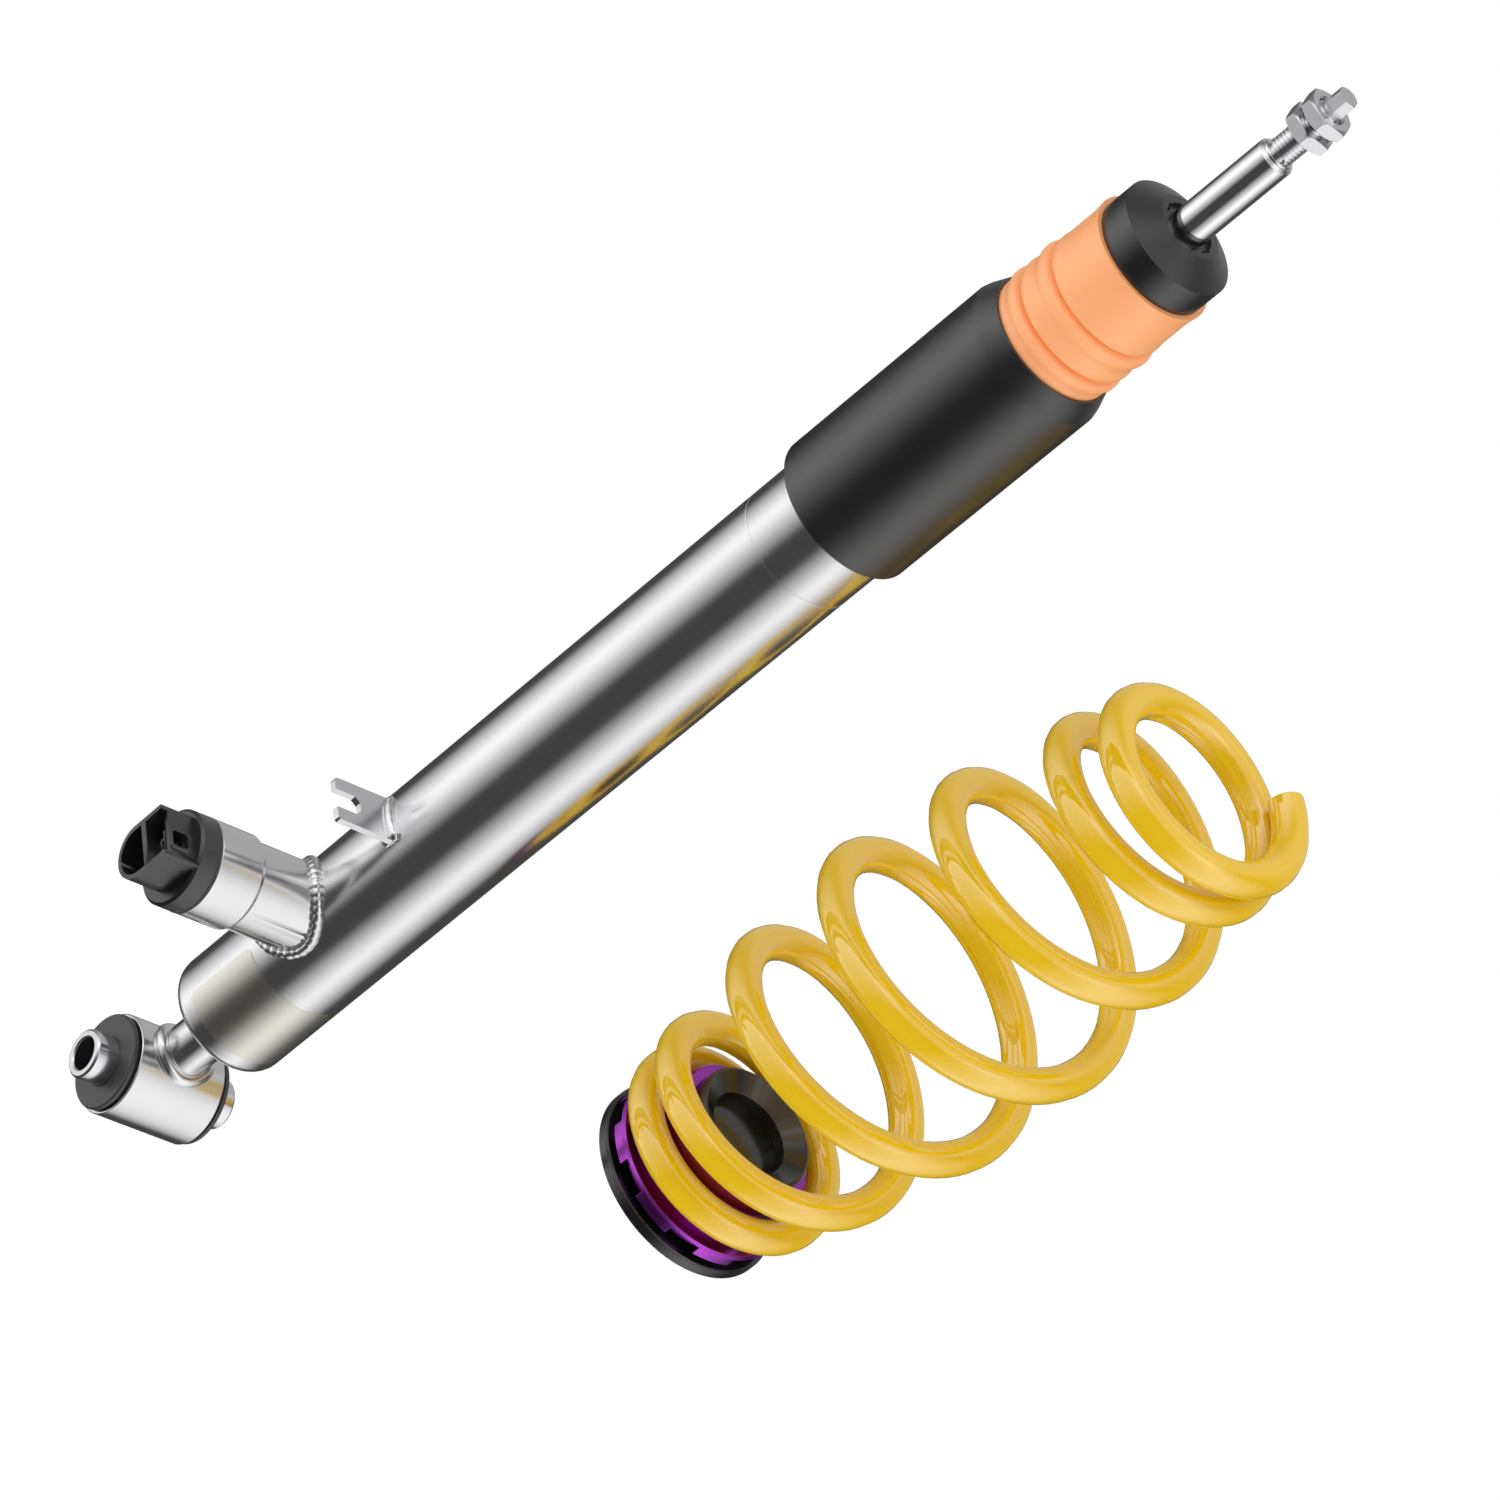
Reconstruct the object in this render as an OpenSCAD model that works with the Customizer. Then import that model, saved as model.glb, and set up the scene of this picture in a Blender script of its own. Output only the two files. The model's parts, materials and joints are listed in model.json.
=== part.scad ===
// Rear-axle coilover set with electrically controlled damping: a twin-tube damper with a side
// valve, and its separate barrel spring on a screw height adjuster. The damper stands on +Z with
// the lower bush centre at the origin; the bush bolt runs along Y and the valve points to -Y.

/* [Lower bush] */
// Bore for the lower bolt
bush_bore_d = 12.1; // [10:0.1:13]
// Outside of the steel sleeve in the bush
sleeve_d = 18.4; // [17:0.1:20]
// Length of the steel sleeve
sleeve_length = 61.6; // [52:0.2:66]
// Outside of the eye ring
eye_d = 37.6; // [36:0.2:42]
// Length of the eye ring
eye_length = 36.8; // [30:0.2:40]
// Thickness of each rubber lip beside the eye
rubber_lip = 3; // [1.5:0.5:4]

/* [Barrel] */
// Outside of the damper barrel
barrel_d = 47; // [45:0.5:50]
// Wall of the damper barrel
barrel_wall = 2; // [1.5:0.25:2.5]
// Height of the barrel's closed bottom
barrel_bottom = 42; // [40:1:44]
// Height of the barrel's top lip
barrel_top = 388; // [380:1:400]
// Rounding of the barrel's bottom edge
bottom_radius = 6; // [3:0.5:7]
// Diameter of the neck between eye and barrel
neck_d = 19.5; // [16:0.5:24]
// Height of the rolled groove under the top
groove_z = 354; // [340:1:360]

/* [Rod and piston] */
// Piston rod diameter
rod_d = 14; // [12:0.5:14]
// Height of the shoulder that carries the top mount
shoulder_z = 584; // [570:1:600]
// Outside of the top thread
stud_d = 10; // [8:1:12]
// Pitch of the top thread
stud_pitch = 1.5; // [1:0.25:1.5]
// Across-flats size of the two rod nuts
nut_af = 16; // [15:1:17]
// Across-flats size of the rod's drive end
drive_af = 7; // [5:0.5:7]
// Bore of the pressure tube
bore_d = 30; // [30:1:32]

/* [Bump stop] */
// Outside of the bump stop at its beads
bead_d = 49; // [47:0.5:50]
// Height of the dust tube's lower edge
dust_bottom = 377; // [370:1:385]
// Outside of the dust tube
dust_d = 55.3; // [53:0.1:58]
// Wall of the dust tube
dust_wall = 1.5; // [1:0.25:2]

/* [Side valve] */
// Height of the valve's axis
valve_z = 108.5; // [100:0.5:120]
// Outside of the branch tube
branch_d = 32.2; // [30:0.2:34]
// Outside of the valve housing
housing_d = 35.2; // [34:0.2:37]

/* [Cable bracket] */
// Height of the bracket's underside
bracket_z = 162.8; // [150:0.2:200]
// Width of the bracket plate
bracket_w = 18; // [14:0.5:22]
// Thickness of the bracket plate
bracket_t = 2.5; // [2:0.25:4]
// Width of the slot for the cable clip
slot_w = 7.5; // [6:0.5:9]

/* [Spring] */
// Distance of the spring's axis from the damper along X
spring_x = 57; // [50:1:200]
// Distance of the spring's axis from the damper along Y
spring_y = 148; // [120:1:250]
// Wire diameter
wire_d = 12.8; // [11:0.1:13]
// Mean radius of the two end coils
end_coil_r = 37; // [37:0.5:39]
// Extra mean radius at the middle coil
belly_r = 17; // [8:0.5:20]
// Rise per turn of the free coils
live_pitch = 52.5; // [45:0.5:56]

/* [Height adjuster] */
// Height of the adjuster's underside
adjuster_z = 109.5; // [100:0.5:120]
// Outside of the adjuster's foot flange
foot_d = 77.4; // [70:0.2:80]
// Bore of the adjuster core
core_bore_d = 32.4; // [28:0.2:34]
// Outside of the threaded core
core_d = 49; // [46:0.5:50]
// Outside of the collar's toothed flange
collar_d = 75; // [72:0.5:77]
// Outside of the collar's hub
hub_d = 59; // [56:0.5:60]
// Number of spanner teeth round the collar
collar_teeth = 8; // [6:1:12]

/* [Hidden] */
$fn = 96;

running_gap = 0.05;       // radial clearance of everything that slides or turns in a bore
eps = 0.01;
cut = 1;                  // how far a cutter stands past the face it opens

bush_r = bush_bore_d / 2;
sleeve_r = sleeve_d / 2;
eye_r = eye_d / 2;
eye_wall = 3;
barrel_r = barrel_d / 2;
barrel_bore_r = barrel_r - barrel_wall;
barrel_floor = barrel_bottom + 5;
lip_t = 2;
neck_r = neck_d / 2;

rod_r = rod_d / 2;
bore_r = bore_d / 2;
inner_wall = 1.5;
inner_r = bore_r + inner_wall;
seal_top = barrel_top - lip_t;
seal_h = 7;
guide_top = seal_top - seal_h;
guide_flange_bottom = guide_top - 15;
guide_bottom = guide_flange_bottom - 6;
bushing_r = rod_r + 1.2;
tube_foot_z = barrel_floor + 9;

spigot_r = 5;
spigot_top = 329;
spigot_bottom = 292;
shim_t = 1;
piston_low = 308;
piston_high = piston_low + 18;
band_low = piston_low + 4;
band_h = 10;
band_t = 0.65;
nut_h = 9;
rebound_h = 16;
thread_end_z = shoulder_z + 25.5;
rod_tip_z = thread_end_z + 6.5;
nut_low = [595.9, 603.2];
rod_nut_h = 5.2;
nut_turn = 27.75;         // how the nuts' corners lie round the rod

bead_r = bead_d / 2;
stop_bottom = 462;
stop_top = 526;
cap_top = 543;
cap_r = 22;
mouth_z = 479;
mouth_r = 23.6;
dust_r = dust_d / 2;
strike_r = barrel_r + 1.2;

branch_r = branch_d / 2;
branch_bore_r = branch_r - 1.5;
housing_r = housing_d / 2;
branch_end = 46;          // distances out along the valve's axis
housing_end = 65;
seal_end = 66;
flange_end = 74;
hood_end = 88;
shaft_r = 3;
armature_r = 6.5;
armature_low = branch_end + 3;
armature_high = armature_low + 10;

hood_x = 2;               // the connector hood's middle, beside the valve's axis
hood_w = 20.8;
hood_wall = 1.7;
hood_top = 13.2;          // its flat end, above the valve's axis
hood_low = -1.6;          // where its straight sides turn into the round end
pin_x = hood_x - 5.6;     // middle of the two pins, which stand pin_gap apart
pin_up = 8;
pin_gap = 4;
pin_r = 0.6;

bracket_tip = 46.5;
bracket_top = bracket_z + bracket_t;
bracket_root = 18;
slot_end = 36;
slot_corner = 2;

wire_r = wire_d / 2;
coil_start = -0.35;       // turns, counted from where the lowest coil leaves its seat
coil_cut = 5.9;           // turns, where the top dead coil is parted from the rest
coil_end = 6.65;
dead_pitch = 11.6;
steps_per_turn = 24;
wire_sides = 12;
start_angle = -133.25;
cut_gap = 0.6;
seat_z = adjuster_z + 13;
coil_low_z = seat_z + wire_r + 0.1;

foot_t = 5;
core_top = adjuster_z + 41.5;
cone_depth = 4.5;
collar_low = adjuster_z + 7.5;
hub_top = adjuster_z + 35;
tooth_h = 4.2;
tooth_depth = 4;
tooth_share = 0.56;       // part of each pitch that a tooth fills
foot_r = foot_d / 2;
core_r = core_d / 2;
collar_r = collar_d / 2;
hub_r = hub_d / 2;

// A smooth step from 0 at a to 1 at b
function ramp(t, a, b) = let (u = max(0, min(1, (t - a) / (b - a)))) u * u * (3 - 2 * u);

// Rise per turn of the spring: nearly flat end coils, open middle ones
function coil_pitch(t) = dead_pitch
    + (live_pitch - dead_pitch) * (ramp(t, 0.15, 1.8) - ramp(t, 4.3, 6.2));

// Mean radius of the spring, widest half way up
function coil_radius(t) = end_coil_r + belly_r * pow(sin(30 * max(0, min(6, t))), 2);

// Centres of the spring wire, with one more point before its lower end and after its upper one
coil_steps = round((coil_end - coil_start) * steps_per_turn);
function coil_turn(i) = coil_start + i / steps_per_turn;
function coil_rise(i) = coil_pitch(coil_turn(i + 0.5)) / steps_per_turn;
coil_path = [for (i = -1, z = coil_low_z - coil_rise(-1); i <= coil_steps + 1;
                  z = z + coil_rise(i), i = i + 1)
    let (t = coil_turn(i), a = start_angle + 360 * t, r = coil_radius(t))
    [spring_x + r * cos(a), spring_y + r * sin(a), z]];
cut_index = 1 + round((coil_cut - coil_start) * steps_per_turn);

function unit(v) = v / norm(v);

// Corner points of a round wire swept along a path that winds round the Z axis through centre.
// The path's first and last points only aim the wire's two ends.
function wire_points(path, centre, r, sides) = [
    for (i = [1 : len(path) - 2])
        let (ahead = unit(path[i + 1] - path[i - 1]),
             out = unit([path[i][0] - centre[0], path[i][1] - centre[1], 0]),
             up = unit(cross(ahead, out)),
             side = cross(up, ahead))
        for (k = [0 : sides - 1])
            path[i] + r * (cos(360 * k / sides) * side + sin(360 * k / sides) * up)];

module swept_wire(path, centre, r, sides) {
    last = len(path) - 3;
    skin = [for (i = [0 : last - 1]) for (k = [0 : sides - 1])
        [i * sides + k, i * sides + (k + 1) % sides,
         (i + 1) * sides + (k + 1) % sides, (i + 1) * sides + k]];
    start_cap = [[for (k = [sides - 1 : -1 : 0]) k]];
    end_cap = [[for (k = [0 : sides - 1]) last * sides + k]];
    polyhedron(points = wire_points(path, centre, r, sides),
               faces = concat(skin, start_cap, end_cap), convexity = 10);
}

// A round bar or a pipe from height low to height high
module bar(r, low, high) {
    translate([0, 0, low]) cylinder(r = r, h = high - low);
}

module pipe(r_in, r_out, low, high) {
    difference() {
        bar(r_out, low, high);
        bar(r_in, low - cut, high + cut);
    }
}

// Turns children from +Z to the valve's axis, where z is the distance from the damper's axis
module along_valve() {
    translate([0, 0, valve_z]) rotate([90, 0, 0]) children();
}

// Turns children from +Z to the bush axis
module along_bush() {
    rotate([90, 0, 0]) children();
}

module at_spring() {
    translate([spring_x, spring_y, 0]) children();
}

module hexagon_bar(across_flats, low, high) {
    translate([0, 0, low]) rotate([0, 0, nut_turn])
        cylinder(r = across_flats / sqrt(3), h = high - low, $fn = 6);
}

// A hexagon with its corners turned down at both ends
module chamfered_hexagon(across_flats, low, high, chamfer) {
    face_r = across_flats / sqrt(3) - 2 * chamfer;
    reach = 2 * chamfer + 1;
    intersection() {
        hexagon_bar(across_flats, low, high);
        rotate_extrude() polygon([
            [0, low], [face_r, low], [face_r + reach, low + reach / 2],
            [face_r + reach, high - reach / 2], [face_r, high], [0, high]]);
    }
}

/* Fixed side: what is bolted to the suspension arm */

module bush_sleeve() {
    half = sleeve_length / 2;
    edge = 0.8;
    color("lightgray") along_bush() rotate_extrude() polygon([
        [bush_r, -half], [sleeve_r - edge, -half], [sleeve_r, -half + edge],
        [sleeve_r, half - edge], [sleeve_r - edge, half], [bush_r, half]]);
}

module adjuster_core() {
    edge = 0.8;
    rim_t = 0.7;
    bore = core_bore_d / 2;
    color([0.05, 0.05, 0.055]) at_spring() rotate_extrude() polygon([
        [bore, adjuster_z], [foot_r - edge, adjuster_z], [foot_r, adjuster_z + edge],
        [foot_r, adjuster_z + foot_t - edge], [foot_r - edge, adjuster_z + foot_t],
        [core_r, adjuster_z + foot_t], [core_r, core_top - edge], [core_r - edge, core_top],
        [core_r - edge - rim_t, core_top], [bore, core_top - cone_depth]]);
}

/* Barrel and what is fixed to it */

// Outline of the barrel's wall from its axis at the bottom round to its lip
module barrel_outline() {
    groove_h = 1.2;
    groove_depth = 0.4;
    inner_round = 3;
    difference() {
        union() {
            translate([0, barrel_bottom])
                square([barrel_r - bottom_radius, barrel_floor - barrel_bottom + inner_round]);
            translate([0, barrel_bottom + bottom_radius])
                square([barrel_r, barrel_top - barrel_bottom - bottom_radius]);
            translate([barrel_r - bottom_radius, barrel_bottom + bottom_radius])
                circle(r = bottom_radius);
        }
        translate([0, barrel_floor])
            square([barrel_bore_r - inner_round, seal_top - barrel_floor]);
        translate([0, barrel_floor + inner_round])
            square([barrel_bore_r, seal_top - barrel_floor - inner_round]);
        translate([barrel_bore_r - inner_round, barrel_floor + inner_round])
            circle(r = inner_round);
        translate([0, seal_top - eps]) square([rod_r + 5, lip_t + cut]);
        translate([barrel_r - groove_depth, groove_z - groove_h / 2])
            square([groove_depth + cut, groove_h]);
        translate([-barrel_r, barrel_bottom - cut]) square([barrel_r, barrel_top]);
    }
}

module barrel_tube() {
    port_r = 11;
    color([0.78, 0.79, 0.80]) difference() {
        rotate_extrude() barrel_outline();
        along_valve() bar(port_r, bore_r, barrel_r + cut);
    }
}

module lower_eye() {
    bore = eye_r - eye_wall;
    color([0.75, 0.76, 0.77]) difference() {
        union() {
            along_bush() bar(eye_r, -eye_length / 2, eye_length / 2);
            bar(neck_r, 0, barrel_bottom);
        }
        along_bush() bar(bore, -eye_length, eye_length);
    }
}

// Fillet weld that saddles the neck on the eye, and the ring weld under the barrel
module eye_weld() {
    bead = 2.6;
    saddle_top = eye_r + 3.5;
    color([0.7, 0.7, 0.69]) {
        difference() {
            rotate_extrude() polygon([
                [neck_r, 0], [neck_r + 2 * bead, 0], [neck_r + 2 * bead, eye_r - bead],
                [neck_r + bead, eye_r + 1], [neck_r + 0.6, saddle_top], [neck_r, saddle_top]]);
            along_bush() bar(eye_r, -eye_length, eye_length);
        }
        rotate_extrude() polygon([
            [neck_r, barrel_bottom - 2], [neck_r + 2, barrel_bottom], [neck_r, barrel_bottom]]);
    }
}

module bush_rubber() {
    bore = sleeve_r + running_gap;
    half = eye_length / 2;
    lip_r = eye_r - 1;
    web_r = eye_r - eye_wall;
    groove = 1.2;
    color([0.12, 0.12, 0.12]) along_bush() rotate_extrude() polygon([
        [bore, -half - rubber_lip], [lip_r - 1, -half - rubber_lip],
        [lip_r, -half - rubber_lip + 1], [lip_r, -half - groove], [lip_r - 1, -half - groove],
        [lip_r - 1, -half], [web_r, -half], [web_r, half], [lip_r - 1, half],
        [lip_r - 1, half + groove], [lip_r, half + groove], [lip_r, half + rubber_lip - 1],
        [lip_r - 1, half + rubber_lip], [bore, half + rubber_lip]]);
}

module inner_tube() {
    color("silver") pipe(bore_r, inner_r, tube_foot_z, guide_flange_bottom);
}

// Sleeve that collects the oil between the tubes and feeds the side valve
module intermediate_tube() {
    fit = inner_r + running_gap;
    neck = fit + 1;
    wall = 1;
    body = 19.4;
    low = 80;
    high = 338;
    neck_h = 6;
    taper = 4;
    port_r = 5;
    spout_end = body + 1.4;
    color([0.72, 0.73, 0.75]) {
        difference() {
            union() {
                rotate_extrude() polygon([
                    [fit, low], [neck, low], [neck, low + neck_h],
                    [body, low + neck_h + taper], [body, high - neck_h - taper],
                    [neck, high - neck_h], [neck, high], [fit, high], [fit, high - neck_h],
                    [body - wall, high - neck_h - taper], [body - wall, low + neck_h + taper],
                    [fit, low + neck_h]]);
                along_valve() bar(port_r + wall, body - wall, spout_end);
            }
            along_valve() bar(port_r, bore_r, spout_end + cut);
            bar(body - wall, low + neck_h + taper, high - neck_h - taper);
        }
    }
}

// Foot valve: a disc that closes the pressure tube, standing on four feet
module base_valve() {
    foot_h = 5;
    slot = 10;
    bolt_r = 3;
    color([0.6, 0.6, 0.62]) difference() {
        union() {
            bar(inner_r, barrel_floor, tube_foot_z);
            bar(bore_r - running_gap, tube_foot_z, tube_foot_z + 8);
            bar(bolt_r, tube_foot_z, tube_foot_z + 12);
        }
        for (turn = [0, 90])
            rotate([0, 0, turn]) translate([-inner_r - cut, -slot / 2, barrel_floor - cut])
                cube([2 * (inner_r + cut), slot, foot_h + cut]);
        for (turn = [45 : 90 : 315])
            rotate([0, 0, turn]) translate([9, 0, 0])
                bar(1.5, barrel_floor - cut, tube_foot_z + 8 + cut);
    }
}

module rod_guide() {
    color([0.62, 0.62, 0.64]) difference() {
        union() {
            bar(bore_r - running_gap, guide_bottom, guide_flange_bottom);
            bar(barrel_bore_r, guide_flange_bottom, guide_top);
        }
        bar(bushing_r, guide_bottom - cut, guide_top + cut);
    }
}

module guide_bushing() {
    color([0.55, 0.42, 0.25])
        pipe(rod_r + running_gap, bushing_r, guide_bottom, guide_top);
}

module rod_seal() {
    color([0.1, 0.1, 0.1])
        pipe(rod_r + running_gap, barrel_bore_r, guide_top, seal_top);
}

// Pressed steel cap that takes the blow of the bump stop
module strike_cap() {
    skirt = 9;
    top_t = 1.5;
    color([0.2, 0.2, 0.21]) rotate_extrude() polygon([
        [rod_r + 3, barrel_top], [barrel_r, barrel_top], [barrel_r, barrel_top - skirt],
        [strike_r, barrel_top - skirt], [strike_r, barrel_top + top_t - 1],
        [strike_r - 1, barrel_top + top_t], [rod_r + 3, barrel_top + top_t]]);
}

module cable_bracket() {
    corner = 1.5;
    half = bracket_w / 2;
    color([0.7, 0.71, 0.72]) difference() {
        translate([0, 0, bracket_z]) linear_extrude(bracket_t) difference() {
            union() {
                translate([-half, -bracket_tip + corner])
                    square([bracket_w, bracket_tip - bracket_root]);
                translate([-half + corner, -bracket_tip])
                    square([bracket_w - 2 * corner, corner * 2]);
                for (side = [-1, 1])
                    translate([side * (half - corner), -bracket_tip + corner])
                        circle(r = corner, $fn = 32);
            }
            polygon([
                [-slot_w / 2, -bracket_tip - cut], [slot_w / 2, -bracket_tip - cut],
                [slot_w / 2, -slot_end - slot_corner], [slot_w / 2 - slot_corner, -slot_end],
                [-slot_w / 2 + slot_corner, -slot_end], [-slot_w / 2, -slot_end - slot_corner]]);
        }
        bar(barrel_r, bracket_z - cut, bracket_top + cut);
    }
}

// Fillet along the root of the bracket, on both faces
module bracket_weld() {
    bead = 2.4;
    sweep = 48;
    color([0.68, 0.68, 0.67])
        for (face = [0, 1])
            rotate([0, 0, -90 - sweep / 2]) rotate_extrude(angle = sweep)
                translate([0, face == 1 ? bracket_top : bracket_z - bead])
                    polygon(face == 1
                        ? [[barrel_r, 0], [barrel_r + bead, 0], [barrel_r, bead]]
                        : [[barrel_r, 0], [barrel_r, bead], [barrel_r + bead, bead]]);
}

module type_label() {
    label_t = 0.12;
    label_low = 52;
    label_high = 86;
    sweep = 110;
    color([0.85, 0.83, 0.78]) rotate([0, 0, -80]) rotate_extrude(angle = sweep)
        translate([barrel_r, label_low]) square([label_t, label_high - label_low]);
}

/* Side valve */

module valve_branch() {
    color([0.77, 0.78, 0.79]) difference() {
        along_valve() pipe(branch_bore_r, branch_r, bore_r, branch_end);
        bar(barrel_r, valve_z - 2 * branch_r, valve_z + 2 * branch_r);
    }
}

// Bead where the branch meets the barrel
module branch_weld() {
    bead = 2.2;
    color([0.7, 0.7, 0.69]) difference() {
        intersection() {
            along_valve() pipe(branch_r, branch_r + bead, bore_r, barrel_r + bead);
            bar(barrel_r + bead, valve_z - 2 * branch_r, valve_z + 2 * branch_r);
        }
        bar(barrel_r, valve_z - 2 * branch_r, valve_z + 2 * branch_r);
    }
}

module valve_housing() {
    edge = 1.2;
    color([0.77, 0.78, 0.79]) along_valve() rotate_extrude() polygon([
        [branch_bore_r, branch_end], [housing_r - edge, branch_end],
        [housing_r, branch_end + edge], [housing_r, housing_end], [branch_bore_r, housing_end]]);
}

// Hydraulic half of the valve, sealed in the branch with its nose on the spout
module valve_body() {
    nose_r = 6.9;
    nose_low = 20.9;
    body_low = 26;
    passage_r = 1.6;
    color([0.6, 0.6, 0.62]) along_valve() difference() {
        union() {
            bar(nose_r, nose_low, body_low);
            bar(branch_bore_r, body_low, branch_end);
        }
        bar(shaft_r + running_gap, nose_low - cut, branch_end + cut);
        for (turn = [0 : 90 : 270])
            rotate([0, 0, turn]) translate([10.5, 0, 0])
                bar(passage_r, body_low - cut, branch_end - 6);
    }
}

module solenoid_coil() {
    color([0.72, 0.42, 0.2]) along_valve()
        pipe(armature_r + 0.4, branch_bore_r, branch_end + 1, housing_end - 1);
}

module valve_seal() {
    color([0.08, 0.08, 0.08]) along_valve()
        pipe(branch_bore_r, housing_r + 0.2, housing_end, seal_end);
}

// Outline of the hood: a round end and a flat one
module hood_outline(shrink) {
    half = hood_w / 2 - shrink;
    translate([hood_x, hood_low]) {
        circle(r = half);
        translate([-half, 0]) square([2 * half, hood_top - hood_low - shrink]);
    }
}

// The two terminals, from the cap's face out to a height
module terminal_rods(high) {
    for (side = [-1, 1])
        translate([pin_x + side * pin_gap / 2, pin_up, 0]) bar(pin_r, flange_end, high);
}

// Moulded cap with the connector hood in one piece
module valve_cap() {
    edge = 1;
    floor_z = flange_end + 3;
    rib_low = 2;
    rib_h = 2.4;
    port_x = hood_x + 2.6;
    port_z = hood_end - 6.9;
    port_out = 8.5;
    port_bore = 6.3;
    port_depth = 3;
    mouth_drop = 2.6;
    pad_x = hood_x - 2.6;
    pad_w = 5.2;
    pad_h = 5;
    pad_hole = 0.9;
    color([0.09, 0.09, 0.09]) along_valve() difference() {
        union() {
            rotate_extrude() polygon([
                [0, seal_end - 2], [branch_bore_r, seal_end - 2], [branch_bore_r, seal_end],
                [housing_r, seal_end], [housing_r, flange_end - edge],
                [housing_r - edge, flange_end], [0, flange_end]]);
            translate([0, 0, flange_end - eps]) linear_extrude(hood_end - flange_end)
                hood_outline(0);
        }
        difference() {
            translate([0, 0, floor_z]) linear_extrude(hood_end - floor_z + cut)
                hood_outline(hood_wall);
            translate([hood_x - hood_w, rib_low, floor_z - cut])
                cube([2 * hood_w, rib_h, hood_end - floor_z + cut]);
            translate([port_x - port_out / 2, hood_top - port_depth, port_z - port_out / 2])
                cube([port_out, port_depth + cut, port_out]);
            translate([pad_x, rib_low, floor_z - cut]) cube([pad_w, 7, pad_h + cut]);
        }
        translate([port_x - port_bore / 2, hood_top - port_depth - cut, port_z - port_bore / 2])
            cube([port_bore, port_depth + 2 * cut, port_bore]);
        translate([hood_x - hood_w / 2 + hood_wall, hood_top - hood_wall - cut,
                   hood_end - mouth_drop])
            cube([hood_w - 2 * hood_wall, hood_wall + 2 * cut, mouth_drop + cut]);
        translate([pad_x + pad_w / 2, rib_low + rib_h + 2, 0])
            bar(pad_hole, floor_z + 1, floor_z + pad_h + cut);
        terminal_rods(hood_end);
    }
}

module terminal_pins() {
    pin_length = 8;
    color([0.8, 0.65, 0.3]) along_valve() terminal_rods(flange_end + pin_length);
}

module valve_plunger() {
    color([0.66, 0.66, 0.68]) along_valve() {
        bar(shaft_r, branch_end - 20, armature_low + eps);
        bar(armature_r, armature_low, armature_high);
    }
}

// Small return spring behind the plunger
module plunger_spring() {
    wire = 0.4;
    turns = 3;
    steps = 16;
    coil = 4;
    room = seal_end - 2 - armature_high - 2 * wire - 0.4;
    path = [for (i = [-1 : turns * steps + 1])
        let (a = 360 * i / steps)
        [coil * cos(a), coil * sin(a), armature_high + wire + 0.2 + room * i / (turns * steps)]];
    color([0.6, 0.6, 0.6]) along_valve() swept_wire(path, [0, 0], wire, 6);
}

/* Rod and piston */

module piston_rod() {
    edge = 1;
    groove = 0.55;
    color([0.85, 0.85, 0.86]) {
        difference() {
            rotate_extrude() polygon(concat(
                [[0, spigot_bottom], [spigot_r - 0.5, spigot_bottom],
                 [spigot_r, spigot_bottom + 0.5], [spigot_r, spigot_top], [rod_r, spigot_top],
                 [rod_r, shoulder_z - edge], [rod_r - edge, shoulder_z],
                 [stud_d / 2 - groove, shoulder_z]],
                [for (z = [shoulder_z + stud_pitch : stud_pitch : thread_end_z - stud_pitch])
                    for (corner = [[groove, 0], [0, 0.25], [0, 0.75], [groove, 1]])
                        [stud_d / 2 - corner[0], z + corner[1] * stud_pitch * 0.98]],
                [[drive_af / 2, thread_end_z], [0, thread_end_z]]));
            bar(0.5, spigot_bottom - cut, spigot_bottom + 2);
        }
        chamfered_hexagon(drive_af, thread_end_z - 1, rod_tip_z, 0.5);
    }
}

module piston() {
    color([0.5, 0.5, 0.52]) difference() {
        bar(bore_r - 0.3, piston_low, piston_high);
        bar(spigot_r, piston_low - cut, piston_high + cut);
        pipe(bore_r - 0.3 - band_t + running_gap, bore_r + cut, band_low, band_low + band_h);
        for (turn = [0 : 60 : 300])
            rotate([0, 0, turn]) translate([9.5, 0, 0])
                bar(1.4, piston_low - cut, piston_high + cut);
    }
}

module piston_band() {
    color([0.35, 0.25, 0.15])
        pipe(bore_r - 0.3 - band_t + running_gap, bore_r - running_gap,
             band_low, band_low + band_h);
}

// Stacks of spring-steel discs above and below the piston
module valve_shims() {
    color([0.65, 0.66, 0.68])
        for (i = [0 : 2]) {
            pipe(spigot_r, 12.5 - 1.5 * i, piston_high + i * shim_t,
                 piston_high + (i + 1) * shim_t);
            pipe(spigot_r, 12.5 - 1.5 * i, piston_low - (i + 1) * shim_t,
                 piston_low - i * shim_t);
        }
}

module piston_nut() {
    top = piston_low - 3 * shim_t;
    color([0.55, 0.55, 0.57]) difference() {
        chamfered_hexagon(16, top - nut_h, top, 0.8);
        bar(spigot_r, top - nut_h - cut, top + cut);
    }
}

// Ring that lands on the rod guide at full droop
module rebound_stop() {
    top = guide_bottom - 0.3;
    color([0.75, 0.72, 0.65]) rotate_extrude() polygon([
        [rod_r, top - rebound_h], [11, top - rebound_h], [12, top - rebound_h + 3],
        [12, top - 1], [11, top], [rod_r, top]]);
}

module rod_nuts() {
    color([0.72, 0.71, 0.74])
        for (low = nut_low)
            difference() {
                chamfered_hexagon(nut_af, low, low + rod_nut_h, 0.7);
                bar(stud_d / 2 + eps, low - cut, low + rod_nut_h + cut);
            }
}

/* Bump stop, its cap and the dust tube, which ride on the rod */

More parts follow.
